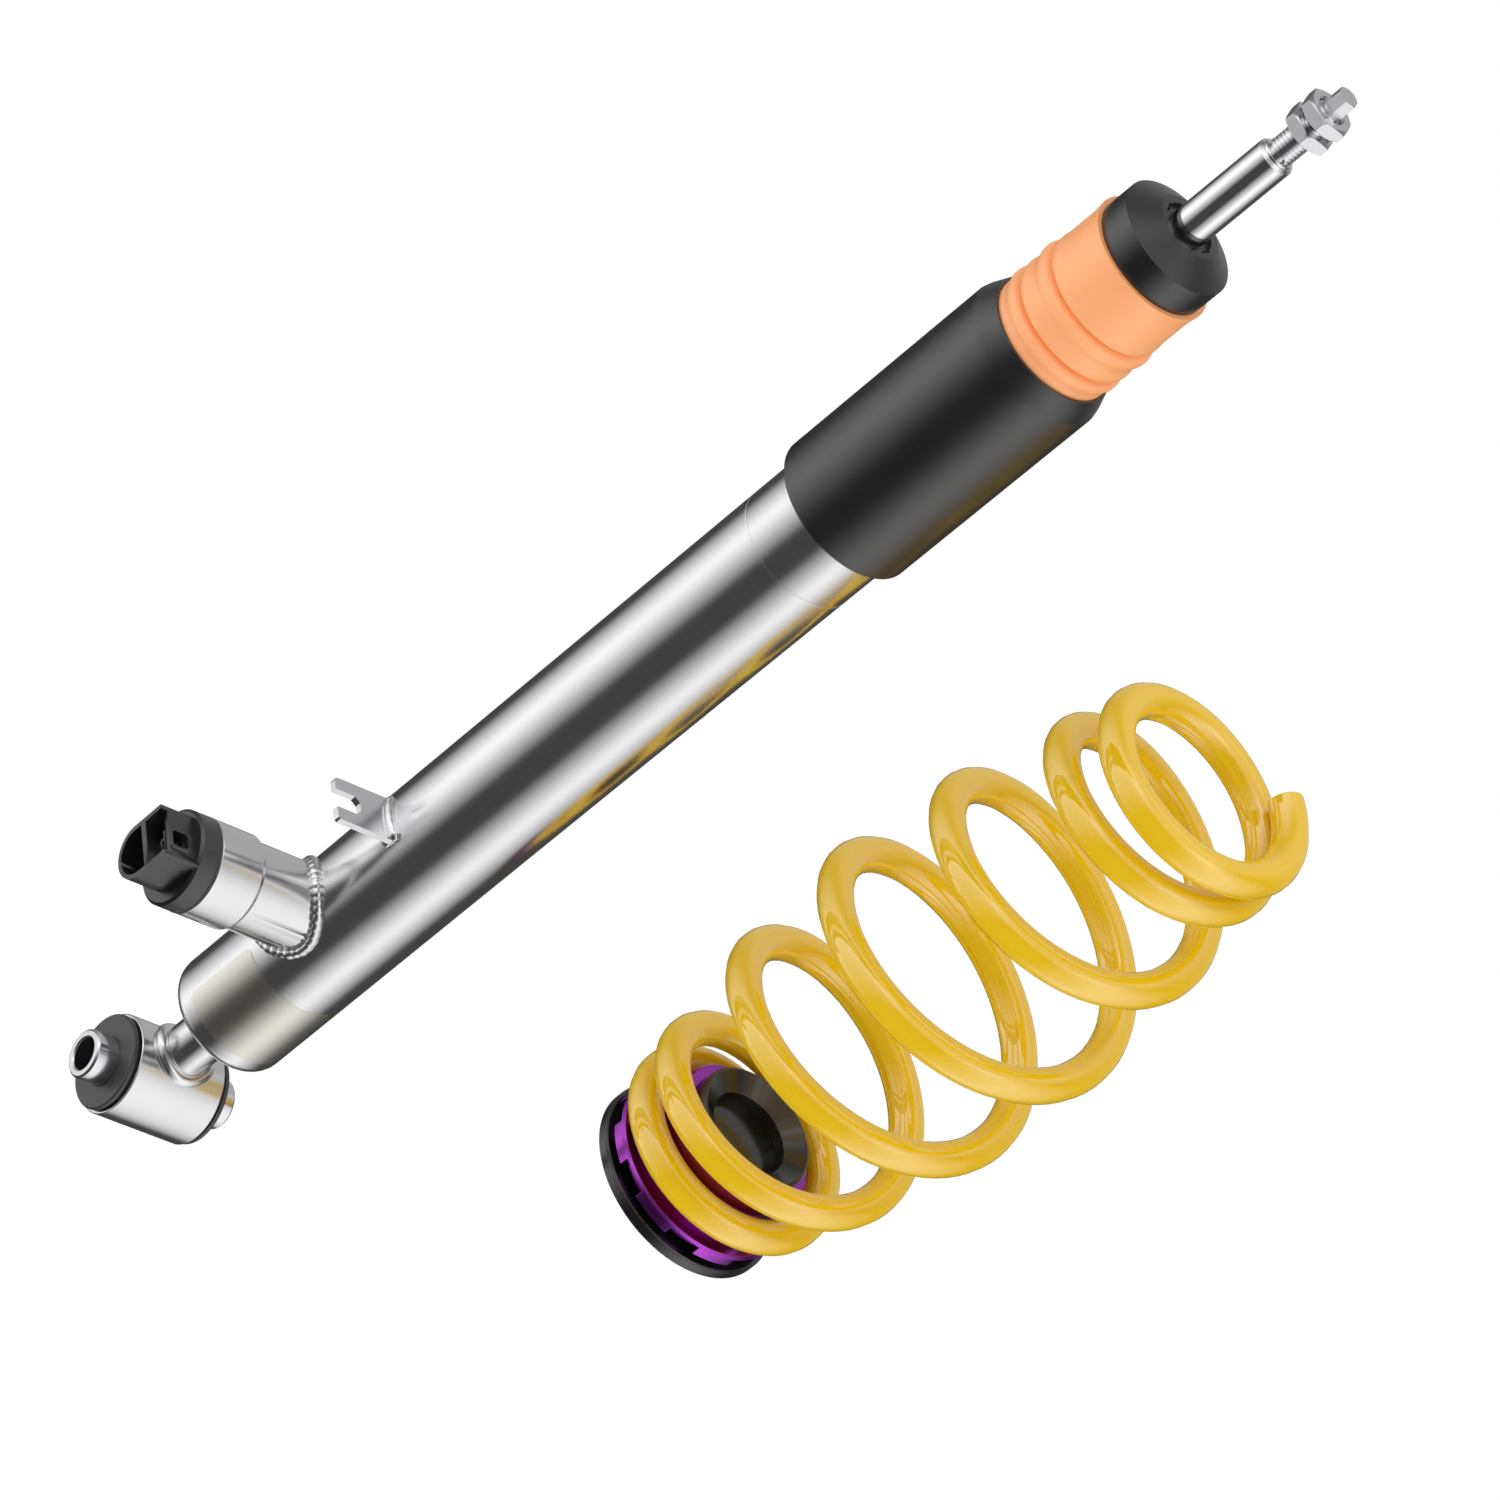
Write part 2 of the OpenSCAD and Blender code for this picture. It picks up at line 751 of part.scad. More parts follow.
module bump_stop() {
    bore = rod_r + 0.5;
    plain_r = 23.2;
    valley = 1.1;
    color([1.0, 0.71, 0.47]) difference() {
        union() {
            bar(bead_r - 1, stop_bottom, stop_top);
            for (z = [482.2, 495.4])
                rotate_extrude() translate([bead_r - 4, z]) circle(r = 4, $fn = 40);
        }
        pipe(plain_r, bead_r + cut, 506, stop_top + cut);
        for (z = [488, 502.8])
            rotate_extrude() translate([bead_r - 0.6, z]) circle(r = valley, $fn = 32);
        pipe(mouth_r - 0.1, bead_r + cut, mouth_z - 6, mouth_z + 0.6);
        bar(bore, stop_bottom - cut, stop_top + cut);
    }
}

module bump_cap() {
    shoulder = 537.5;
    face_r = 12.4;
    recess_r = 9.6;
    recess = 1.5;
    color([0.06, 0.06, 0.06]) rotate_extrude() polygon([
        [rod_r + running_gap, stop_top], [cap_r, stop_top], [cap_r, shoulder],
        [face_r, cap_top], [recess_r, cap_top], [recess_r - 0.5, cap_top - recess],
        [rod_r + running_gap, cap_top - recess]]);
}

module dust_tube() {
    bore = dust_r - dust_wall;
    edge = 1.2;
    shoulder = 470;
    color([0.1, 0.1, 0.1]) rotate_extrude() polygon([
        [bore, dust_bottom], [dust_r - edge, dust_bottom], [dust_r, dust_bottom + edge],
        [dust_r, shoulder], [dust_r - 0.6, shoulder + 2.5], [mouth_r + 1, mouth_z],
        [mouth_r, mouth_z], [mouth_r, mouth_z - 5], [bore, shoulder - 1]]);
}

/* Spring and height adjuster */

module coil_spring() {
    color([0.94, 0.76, 0.08])
        swept_wire([for (i = [0 : cut_index + 1]) coil_path[i]],
                   [spring_x, spring_y], wire_r, wire_sides);
}

module spring_top_coil() {
    before = coil_path[cut_index - 1];
    after = coil_path[cut_index + 1];
    start = coil_path[cut_index] + cut_gap * unit(after - before);
    color([0.94, 0.76, 0.08])
        swept_wire(concat([before, start], [for (i = [cut_index + 1 : coil_steps + 2]) coil_path[i]]),
                   [spring_x, spring_y], wire_r, wire_sides);
}

module adjuster_collar() {
    bore = core_r + running_gap;
    pitch = 360 / collar_teeth;
    color([0.55, 0.2, 0.68]) at_spring() difference() {
        rotate_extrude() polygon([
            [bore, collar_low], [collar_r - 0.5, collar_low], [collar_r, collar_low + 0.5],
            [collar_r, seat_z - 1], [collar_r - 1, seat_z], [hub_r, seat_z],
            [hub_r, hub_top - 1], [hub_r - 1, hub_top], [bore, hub_top]]);
        for (i = [0 : collar_teeth - 1])
            rotate([0, 0, start_angle + 90 + (i + 0.5) * pitch - pitch * (1 - tooth_share) / 2])
                translate([0, 0, collar_low - cut])
                    rotate_extrude(angle = pitch * (1 - tooth_share))
                        translate([collar_r - tooth_depth, 0])
                            square([tooth_depth + cut, tooth_h + cut]);
    }
}

bush_sleeve();
adjuster_core();
barrel_tube();
lower_eye();
eye_weld();
bush_rubber();
inner_tube();
intermediate_tube();
base_valve();
rod_guide();
guide_bushing();
rod_seal();
strike_cap();
cable_bracket();
bracket_weld();
valve_branch();
branch_weld();
valve_housing();
valve_body();
solenoid_coil();
valve_seal();
valve_cap();
terminal_pins();
type_label();
valve_plunger();
plunger_spring();
piston_rod();
piston();
piston_band();
valve_shims();
piston_nut();
rebound_stop();
rod_nuts();
bump_stop();
bump_cap();
dust_tube();
coil_spring();
adjuster_collar();
spring_top_coil();
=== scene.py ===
# Rear coilover set: a slim damper with its side valve, bump stop and lower bush, beside a barrel
# spring that stands on its screw height adjuster. Both stand on +Z, and the valve points to -Y.
import json
import math

import bmesh
import bpy
from mathutils import Matrix, Vector


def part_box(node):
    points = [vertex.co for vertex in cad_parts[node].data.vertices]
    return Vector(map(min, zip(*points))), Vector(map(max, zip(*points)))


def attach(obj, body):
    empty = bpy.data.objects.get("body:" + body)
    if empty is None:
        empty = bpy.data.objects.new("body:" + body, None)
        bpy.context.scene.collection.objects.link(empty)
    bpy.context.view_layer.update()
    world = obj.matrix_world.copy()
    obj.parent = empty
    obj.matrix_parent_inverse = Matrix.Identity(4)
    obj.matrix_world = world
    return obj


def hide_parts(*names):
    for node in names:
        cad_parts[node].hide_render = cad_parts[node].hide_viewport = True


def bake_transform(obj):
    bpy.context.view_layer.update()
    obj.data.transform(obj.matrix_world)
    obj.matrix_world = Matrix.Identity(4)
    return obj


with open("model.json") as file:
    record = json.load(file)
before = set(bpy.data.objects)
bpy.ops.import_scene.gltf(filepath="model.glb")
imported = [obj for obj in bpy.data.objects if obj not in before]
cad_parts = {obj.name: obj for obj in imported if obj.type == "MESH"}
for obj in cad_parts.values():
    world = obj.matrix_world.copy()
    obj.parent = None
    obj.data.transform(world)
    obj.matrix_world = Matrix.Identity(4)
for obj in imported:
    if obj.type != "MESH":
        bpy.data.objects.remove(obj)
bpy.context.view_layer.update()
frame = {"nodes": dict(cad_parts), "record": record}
scene = bpy.context.scene
scene.view_settings.view_transform = "Standard"

MM = 0.001
FINE = 128  # sides of a large turned piece
NORMAL = 80
SMALL = 48


# ---- Sizes read from the frame, in millimetres -------------------------------------------------


def low(node):
    return [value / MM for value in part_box(node)[0]]


def high(node):
    return [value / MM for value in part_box(node)[1]]


def radius_about(node, centre_x=0.0):
    return high(node)[0] - centre_x


BARREL_R = radius_about("barrel_tube")
BARREL_LOW = low("barrel_tube")[2]
BARREL_HIGH = high("barrel_tube")[2]
BARREL_WALL = 2.0
EYE_R = radius_about("lower_eye")
EYE_HALF = high("lower_eye")[1]
SLEEVE_R = radius_about("bush_sleeve")
SLEEVE_HALF = high("bush_sleeve")[1]
BUSH_R = frame["record"]["mounts"][0]["dims"]["r_mm"]
NECK_R = 9.75
VALVE_Z = (low("valve_housing")[2] + high("valve_housing")[2]) / 2
BRANCH_R = radius_about("valve_branch")
BRANCH_END = -low("valve_branch")[1]
HOUSING_R = radius_about("valve_housing")
HOUSING_END = -low("valve_housing")[1]
SEAL_END = -low("valve_seal")[1]
HOOD_END = -low("valve_cap")[1]
FLANGE_END = SEAL_END + 8.0
ROD_R = radius_about("piston_rod")
ROD_TIP = high("piston_rod")[2]
SHOULDER_Z = frame["record"]["mounts"][3]["pos_m"][2] / MM
STUD_R = 5.0
STUD_PITCH = 1.5
STUD_END = ROD_TIP - 6.5
STOP_LOW = low("bump_stop")[2]
STOP_HIGH = high("bump_stop")[2]
CAP_R = radius_about("bump_cap")
CAP_HIGH = high("bump_cap")[2]
DUST_R = radius_about("dust_tube")
DUST_LOW = low("dust_tube")[2]
DUST_HIGH = high("dust_tube")[2]
BRACKET_LOW = low("cable_bracket")[2]
BRACKET_HIGH = high("cable_bracket")[2]
BRACKET_TIP = -low("cable_bracket")[1]
BRACKET_HALF = radius_about("cable_bracket")
SPRING_X = (low("adjuster_core")[0] + high("adjuster_core")[0]) / 2
SPRING_Y = (low("adjuster_core")[1] + high("adjuster_core")[1]) / 2
FOOT_R = radius_about("adjuster_core", SPRING_X)
FOOT_Z = low("adjuster_core")[2]
CORE_TOP = high("adjuster_core")[2]
CORE_R = 24.5
CORE_BORE = frame["record"]["mounts"][1]["dims"]["r_mm"]
COLLAR_R = radius_about("adjuster_collar", SPRING_X)
COLLAR_LOW = low("adjuster_collar")[2]
COLLAR_HIGH = high("adjuster_collar")[2]
HUB_R = 29.5
SEAT_Z = FOOT_Z + 13.0
WIRE_R = 6.4


# ---- Making and shaping pieces -----------------------------------------------------------------


def deselect():
    bpy.ops.object.select_all(action="DESELECT")


def choose(piece):
    deselect()
    piece.select_set(True)
    bpy.context.view_layer.objects.active = piece


def apply_place(piece):
    choose(piece)
    bpy.ops.object.transform_apply(location=True, rotation=True, scale=True)


def modify(piece, kind, **settings):
    """Adds a modifier with its settings and applies it."""
    choose(piece)
    bpy.ops.object.modifier_add(type=kind)
    modifier = piece.modifiers[-1]
    for name, value in settings.items():
        setattr(modifier, name, value)
    bpy.ops.object.modifier_apply(modifier=modifier.name)


def draw_wire(points, close):
    """A wire through points of (x, y, z) in millimetres, extruded vertex by vertex."""
    deselect()
    bpy.ops.mesh.primitive_plane_add(size=MM, location=Vector(points[0]) * MM)
    piece = bpy.context.object
    apply_place(piece)
    bpy.ops.object.mode_set(mode="EDIT")
    bpy.ops.mesh.select_all(action="SELECT")
    bpy.ops.mesh.merge(type="CENTER")
    path = list(points) + ([points[0]] if close else [])
    for here, there in zip(path, path[1:]):
        step = (Vector(there) - Vector(here)) * MM
        bpy.ops.mesh.extrude_vertices_move(TRANSFORM_OT_translate={"value": step})
    bpy.ops.mesh.select_all(action="SELECT")
    return piece


def weld_doubles():
    bpy.ops.mesh.select_all(action="SELECT")
    bpy.ops.mesh.remove_doubles(threshold=0.002 * MM)
    bpy.ops.mesh.normals_make_consistent(inside=False)
    bpy.ops.object.mode_set(mode="OBJECT")


def soften(piece, width=0.3, segments=3, angle=30):
    """Rounds a piece's edges by width millimetres and smooths its faces, keeping flat ones flat."""
    if width:
        modify(piece, "BEVEL", width=width * MM, segments=segments, limit_method="ANGLE",
               angle_limit=math.radians(angle), miter_outer="MITER_ARC")
    choose(piece)
    bpy.ops.object.shade_smooth_by_angle(angle=math.radians(38))
    modify(piece, "WEIGHTED_NORMAL", mode="FACE_AREA", weight=50, keep_sharp=True)


def turned(name, outline, sides=NORMAL, edge=0.3, segments=3, close=True):
    """A piece turned about Z from an outline of (radius, height)."""
    piece = draw_wire([(radius, 0, height) for radius, height in outline], close)
    bpy.ops.mesh.spin(steps=sides, angle=math.tau, center=(0, 0, 0), axis=(0, 0, 1))
    weld_doubles()
    piece.name = name
    soften(piece, edge, segments)
    return piece


def plate(name, outline, bottom, top, edge=0.3, segments=2):
    """A flat piece of an outline of (x, y), from height bottom to height top."""
    piece = draw_wire([(x, y, bottom) for x, y in outline], True)
    bpy.ops.mesh.remove_doubles(threshold=0.002 * MM)
    bpy.ops.mesh.select_all(action="SELECT")
    bpy.ops.mesh.edge_face_add()
    bpy.ops.mesh.extrude_region_move(TRANSFORM_OT_translate={"value": (0, 0, (top - bottom) * MM)})
    weld_doubles()
    piece.name = name
    soften(piece, edge, segments)
    return piece


def bar(radius, bottom, top, at=(0, 0), sides=NORMAL):
    """A plain round bar along Z, used as a cutter."""
    deselect()
    bpy.ops.mesh.primitive_cylinder_add(
        vertices=sides, radius=radius * MM, depth=(top - bottom) * MM,
        location=(at[0] * MM, at[1] * MM, (bottom + top) / 2 * MM))
    cutter = bpy.context.object
    apply_place(cutter)
    return cutter


def block(corner, size):
    deselect()
    bpy.ops.mesh.primitive_cube_add(size=1, location=(Vector(corner) + Vector(size) / 2) * MM)
    cutter = bpy.context.object
    cutter.scale = Vector(size) * MM
    apply_place(cutter)
    return cutter


def carve(piece, cutter, how="DIFFERENCE"):
    """Cuts a piece with another one, or joins them, and removes the other one."""
    modify(piece, "BOOLEAN", object=cutter, operation=how, solver="EXACT")
    bpy.data.objects.remove(cutter)


def lay_along_valve(piece):
    """Lays a piece that was made about Z along the valve's axis, where height is distance out."""
    piece.rotation_euler = (math.pi / 2, 0, 0)
    piece.location = (0, 0, VALVE_Z * MM)
    apply_place(piece)
    return piece


def lay_along_bush(piece):
    piece.rotation_euler = (math.pi / 2, 0, 0)
    apply_place(piece)
    return piece


def move_to_spring(piece):
    piece.location = (SPRING_X * MM, SPRING_Y * MM, 0)
    apply_place(piece)
    return piece


def arc(centre, radius, start, end, steps=8):
    """Points on an arc, from angle start to angle end in degrees."""
    angles = [math.radians(start + (end - start) * i / steps) for i in range(steps + 1)]
    return [(centre[0] + radius * math.cos(a), centre[1] + radius * math.sin(a)) for a in angles]


def swept(name, points, radii, closed, sides=6, caps=True):
    """A round wire or bead along points in millimetres, with a radius at each point."""
    deselect()
    bpy.ops.curve.primitive_nurbs_path_add(location=(0, 0, 0))
    piece = bpy.context.object
    curve = piece.data
    curve.splines.clear()
    spline = curve.splines.new("POLY")
    spline.points.add(len(points) - 1)
    for point, place, radius in zip(spline.points, points, radii):
        point.co = (place[0] * MM, place[1] * MM, place[2] * MM, 1)
        point.radius = radius
    spline.use_cyclic_u = closed
    curve.dimensions = "3D"
    curve.twist_mode = "MINIMUM"
    curve.bevel_depth = MM
    curve.bevel_resolution = sides
    curve.use_fill_caps = caps and not closed
    choose(piece)
    bpy.ops.object.convert(target="MESH")
    piece = bpy.context.object
    apply_place(piece)
    bpy.ops.object.mode_set(mode="EDIT")
    weld_doubles()
    bpy.ops.object.shade_smooth_by_angle(angle=math.radians(60))
    piece.name = name
    return piece


def rippled_bead(name, place, radius, length, closed=True, pitch=2.6, depth=0.08):
    """A weld bead of overlapping ripples. place(share) gives the point at a share of its length."""
    ripples = max(3, round(length / pitch))
    per_ripple = 8
    count = ripples * per_ripple
    points, radii = [], []
    for i in range(count + (0 if closed else 1)):
        rise = (i % per_ripple) / per_ripple
        wander = 0.4 * math.sin(2.3 * (i // per_ripple) ** 1.3)
        end = 1.0 if closed else min(1.0, 0.45 + 6 * min(i, count - i) / count)
        points.append(place(i / count))
        radii.append(radius * end * (1 + depth * (math.sin(math.pi * rise ** 0.7) - 0.5 + wander)))
    return swept(name, points, radii, closed, sides=8)


def hand_over(piece, body, slot, *nodes):
    """Gives a finished piece its body and its finish, and hides the CAD nodes that it stands for.
    """
    deselect()
    piece.data.materials.clear()
    piece.data.materials.append(FINISHES[slot])
    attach(piece, body)
    if nodes:
        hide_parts(*nodes)
    return piece


# ---- Effects that finishes share ---------------------------------------------------------------


def effect_group(name, inputs, outputs):
    group = bpy.data.node_groups.new(name, "ShaderNodeTree")
    for socket, kind, value in inputs:
        made = group.interface.new_socket(socket, in_out="INPUT", socket_type=kind)
        if value is not None:
            made.default_value = value
    for socket, kind in outputs:
        group.interface.new_socket(socket, in_out="OUTPUT", socket_type=kind)
    return group, group.nodes.new("NodeGroupInput"), group.nodes.new("NodeGroupOutput")


def noise_node(group, coordinate, scale, detail=3.0, roughness=0.55):
    noise = group.nodes.new("ShaderNodeTexNoise")
    noise.inputs["Detail"].default_value = detail
    noise.inputs["Roughness"].default_value = roughness
    group.links.new(coordinate, noise.inputs["Vector"])
    if isinstance(scale, (int, float)):
        noise.inputs["Scale"].default_value = scale
    else:
        group.links.new(scale, noise.inputs["Scale"])
    return noise.outputs["Fac"]


def between(group, value, low_out, high_out, low_in=0.0, high_in=1.0):
    node = group.nodes.new("ShaderNodeMapRange")
    group.links.new(value, node.inputs["Value"])
    for socket, setting in (("From Min", low_in), ("From Max", high_in),
                            ("To Min", low_out), ("To Max", high_out)):
        if isinstance(setting, (int, float)):
            node.inputs[socket].default_value = setting
        else:
            group.links.new(setting, node.inputs[socket])
    return node.outputs["Result"]


def make_polish_lines():
    """Fine lines left by polishing, long along one axis, with slow cloudy changes over them."""
    group, given, out = effect_group(
        "polish lines",
        [("Stretch", "NodeSocketVector", (1, 1, 1)), ("Roughness", "NodeSocketFloat", 0.2),
         ("Spread", "NodeSocketFloat", 0.05)],
        [("Roughness", "NodeSocketFloat"), ("Height", "NodeSocketFloat"),
         ("Cloud", "NodeSocketFloat")])
    place = group.nodes.new("ShaderNodeTexCoord").outputs["Object"]
    stretch = group.nodes.new("ShaderNodeVectorMath")
    stretch.operation = "MULTIPLY"
    group.links.new(place, stretch.inputs[0])
    group.links.new(given.outputs["Stretch"], stretch.inputs[1])
    lines = noise_node(group, stretch.outputs["Vector"], 1.0, 5.0, 0.65)
    cloud = noise_node(group, place, 22.0, 2.0)
    both = group.nodes.new("ShaderNodeMath")
    both.operation = "ADD"
    group.links.new(between(group, lines, -0.5, 0.5), both.inputs[0])
    group.links.new(between(group, cloud, -0.6, 0.6), both.inputs[1])
    spread = group.nodes.new("ShaderNodeMath")
    spread.operation = "MULTIPLY_ADD"
    group.links.new(both.outputs[0], spread.inputs[0])
    group.links.new(given.outputs["Spread"], spread.inputs[1])
    group.links.new(given.outputs["Roughness"], spread.inputs[2])
    group.links.new(spread.outputs[0], out.inputs["Roughness"])
    group.links.new(lines, out.inputs["Height"])
    group.links.new(cloud, out.inputs["Cloud"])
    return group


def make_fine_grain():
    """The small even grain of moulded plastic, rubber and phosphated steel."""
    group, given, out = effect_group(
        "fine grain",
        [("Scale", "NodeSocketFloat", 1500.0), ("Roughness", "NodeSocketFloat", 0.4),
         ("Spread", "NodeSocketFloat", 0.1)],
        [("Roughness", "NodeSocketFloat"), ("Height", "NodeSocketFloat"),
         ("Patches", "NodeSocketFloat")])
    place = group.nodes.new("ShaderNodeTexCoord").outputs["Object"]
    grain = noise_node(group, place, given.outputs["Scale"], 4.0, 0.6)
    patches = noise_node(group, place, 45.0, 3.0)
    spread = group.nodes.new("ShaderNodeMath")
    spread.operation = "MULTIPLY_ADD"
    group.links.new(between(group, patches, -1.0, 1.0), spread.inputs[0])
    group.links.new(given.outputs["Spread"], spread.inputs[1])
    group.links.new(given.outputs["Roughness"], spread.inputs[2])
    group.links.new(spread.outputs[0], out.inputs["Roughness"])
    group.links.new(grain, out.inputs["Height"])
    group.links.new(patches, out.inputs["Patches"])
    return group


POLISH_LINES = make_polish_lines()
FINE_GRAIN = make_fine_grain()


# ---- Finishes ----------------------------------------------------------------------------------


def finish(name, **plain):
    """A new material, with its shader's plain numbers set on the shader itself."""
    material = bpy.data.materials.new(name)
    material.use_nodes = True
    shader = material.node_tree.nodes["Principled BSDF"]
    for socket, value in plain.items():
        shader.inputs[socket.replace("_", " ")].default_value = value
    return material, material.node_tree, shader


def place_effect(tree, group, **values):
    node = tree.nodes.new("ShaderNodeGroup")
    node.node_tree = group
    for socket, value in values.items():
        node.inputs[socket].default_value = value
    return node


def blend_colours(tree, mask, first, second, socket):
    mix = tree.nodes.new("ShaderNodeMix")
    mix.data_type = "RGBA"
    mix.inputs["A"].default_value = (*first, 1)
    mix.inputs["B"].default_value = (*second, 1)
    tree.links.new(mask, mix.inputs["Factor"])
    tree.links.new(mix.outputs["Result"], socket)
    return mix


def bump(tree, shader, height, strength, distance):
    node = tree.nodes.new("ShaderNodeBump")
    node.inputs["Strength"].default_value = strength
    node.inputs["Distance"].default_value = distance * MM
    tree.links.new(height, node.inputs["Height"])
    tree.links.new(node.outputs["Normal"], shader.inputs["Normal"])


def metal(name, dark, light, roughness, spread, stretch, strength=0.1, distance=0.01):
    """Bare or plated metal with polishing lines along one axis."""
    material, tree, shader = finish(name, Metallic=1.0)
    lines = place_effect(tree, POLISH_LINES, Stretch=stretch, Roughness=roughness, Spread=spread)
    tree.links.new(lines.outputs["Roughness"], shader.inputs["Roughness"])
    blend_colours(tree, lines.outputs["Cloud"], dark, light, shader.inputs["Base Color"])
    bump(tree, shader, lines.outputs["Height"], strength, distance)
    return material


def grained(name, dark, light, roughness, spread, scale, strength, distance, **plain):
    """Plastic, rubber or a dull coat with a fine grain."""
    material, tree, shader = finish(name, **plain)
    grain = place_effect(tree, FINE_GRAIN, Scale=scale, Roughness=roughness, Spread=spread)
    tree.links.new(grain.outputs["Roughness"], shader.inputs["Roughness"])
    blend_colours(tree, grain.outputs["Patches"], dark, light, shader.inputs["Base Color"])
    bump(tree, shader, grain.outputs["Height"], strength, distance)
    return material


FINISHES = {
    "stainless": metal("polished stainless", (0.73, 0.73, 0.74), (0.79, 0.79, 0.79),
                       0.20, 0.03, (900, 900, 6)),
    "weld_bead": metal("bright weld", (0.72, 0.72, 0.73), (0.88, 0.88, 0.88),
                       0.20, 0.06, (260, 260, 260), 0.2, 0.05),
    "rod_chrome": metal("hard chrome", (0.82, 0.82, 0.83), (0.86, 0.86, 0.87),
                        0.10, 0.02, (60, 60, 1200), 0.04, 0.01),
    "zinc_plate": metal("bright zinc", (0.72, 0.71, 0.74), (0.82, 0.81, 0.83),
                        0.17, 0.06, (140, 140, 140), 0.1, 0.02),
    "black_rubber": grained("black rubber", (0.020, 0.020, 0.021), (0.030, 0.030, 0.030),
                            0.46, 0.10, 1400, 0.2, 0.04, IOR=1.75),
    "moulded_black": grained("moulded black", (0.0042, 0.0042, 0.0045), (0.006, 0.006, 0.0062),
                             0.33, 0.05, 1800, 0.08, 0.02, IOR=1.85),
    "dust_tube_black": grained("satin black tube", (0.0042, 0.0042, 0.0042),
                               (0.006, 0.006, 0.006), 0.33, 0.03, 2200, 0.06, 0.02, IOR=1.9),
    "peach_foam": grained("cellular polyurethane", (1.0, 0.39, 0.135), (1.0, 0.42, 0.155),
                          0.40, 0.06, 900, 0.06, 0.03, IOR=1.9, Subsurface_Weight=0.08,
                          Subsurface_Radius=(1.0, 0.4, 0.15), Subsurface_Scale=0.003),
    "spring_yellow": grained("yellow powder coat", (0.80, 0.50, 0.0035),
                             (0.84, 0.53, 0.0045), 0.30, 0.04, 700, 0.02, 0.02,
                             Specular_IOR_Level=0.0, Coat_Weight=1.0, Coat_Roughness=0.05,
                             Coat_IOR=2.2),
    "violet_anodised": metal("violet anodising", (0.40, 0.055, 0.52), (0.50, 0.09, 0.66),
                             0.18, 0.05, (40, 40, 900), 0.1, 0.01),
    "black_anodised": grained("gloss black anodising", (0.004, 0.004, 0.0045),
                              (0.007, 0.007, 0.0075), 0.20, 0.04, 1500, 0.04, 0.01, IOR=1.8),
    "plain_steel": metal("machined steel", (0.52, 0.52, 0.54), (0.62, 0.62, 0.64),
                         0.28, 0.08, (60, 60, 900), 0.2, 0.02),
    "strike_cap_steel": grained("phosphated steel", (0.05, 0.05, 0.052), (0.08, 0.08, 0.082),
                                0.45, 0.1, 1200, 0.2, 0.03, Metallic=0.6),
    "bearing_bronze": metal("sintered bronze", (0.50, 0.33, 0.15), (0.62, 0.43, 0.20),
                            0.30, 0.08, (500, 500, 500), 0.3, 0.02),
    "copper_winding": metal("enamelled copper", (0.62, 0.24, 0.09), (0.75, 0.33, 0.14),
                            0.25, 0.08, (40, 2600, 40), 0.6, 0.05),
    "slide_polymer": grained("filled slide polymer", (0.20, 0.15, 0.09), (0.28, 0.21, 0.13),
                             0.40, 0.1, 900, 0.2, 0.03),
    "label_film": metal("clear film over steel", (0.70, 0.68, 0.62), (0.78, 0.76, 0.69),
                        0.30, 0.04, (300, 300, 300), 0.05, 0.01),
}


# ---- Lower bush and eye ------------------------------------------------------------------------


def make_eye():
    wall = 3.0
    ring = turned("lower_eye_ring", [(EYE_R - wall, -EYE_HALF), (EYE_R, -EYE_HALF),
                                     (EYE_R, EYE_HALF), (EYE_R - wall, EYE_HALF)],
                  FINE, 0.6)
    hand_over(lay_along_bush(ring), "barrel", "stainless", "lower_eye")
    neck_foot = EYE_R - wall + 0.1
    neck = turned("eye_neck", [(0, neck_foot), (NECK_R, neck_foot), (NECK_R, BARREL_LOW + 0.5),
                               (0, BARREL_LOW + 0.5)], SMALL, 0.2, close=False)
    hand_over(neck, "barrel", "stainless", "lower_eye")


def make_bush():
    lip_r = radius_about("bush_rubber")
    lip = high("bush_rubber")[1]
    groove, groove_depth = 1.1, 2.0
    web_r = EYE_R - 3.0
    side = [(SLEEVE_R + 0.05, lip), (lip_r - 0.5, lip), (lip_r, lip - 0.6),
            (lip_r, EYE_HALF + groove), (lip_r - groove_depth, EYE_HALF + groove - 0.2),
            (lip_r - groove_depth, EYE_HALF - 0.3), (web_r, EYE_HALF - 0.3)]
    rubber = turned("bush_rubber_ring", side + [(r, -h) for r, h in reversed(side)], FINE, 0.25)
    hand_over(lay_along_bush(rubber), "barrel", "black_rubber", "bush_rubber")
    half = SLEEVE_HALF
    sleeve = turned("bush_steel_sleeve", [
        (BUSH_R, -half + 0.6), (BUSH_R + 0.6, -half), (SLEEVE_R - 0.8, -half),
        (SLEEVE_R, -half + 0.8), (SLEEVE_R, half - 0.8), (SLEEVE_R - 0.8, half),
        (BUSH_R + 0.6, half), (BUSH_R, half - 0.6)], NORMAL, 0.2)
    hand_over(lay_along_bush(sleeve), "arm_side", "zinc_plate", "bush_sleeve")


def make_eye_weld():
    ring_r = NECK_R + 0.7

    def saddle(share):
        turn = math.tau * share
        x, y = ring_r * math.cos(turn), ring_r * math.sin(turn)
        return (x, y, math.sqrt(EYE_R ** 2 - x ** 2) + 0.9)

    bead = rippled_bead("eye_weld_bead", saddle, 2.4, math.tau * ring_r, pitch=8.0, depth=0.03)
    hand_over(bead, "barrel", "weld_bead", "eye_weld")

    def upper(share):
        turn = math.tau * share
        return ((NECK_R + 0.3) * math.cos(turn), (NECK_R + 0.3) * math.sin(turn), BARREL_LOW - 0.2)

    bead = rippled_bead("neck_weld_bead", upper, 1.1, math.tau * NECK_R, pitch=5.0,
                        depth=0.03)
    hand_over(bead, "barrel", "weld_bead", "eye_weld")


# ---- Barrel ------------------------------------------------------------------------------------


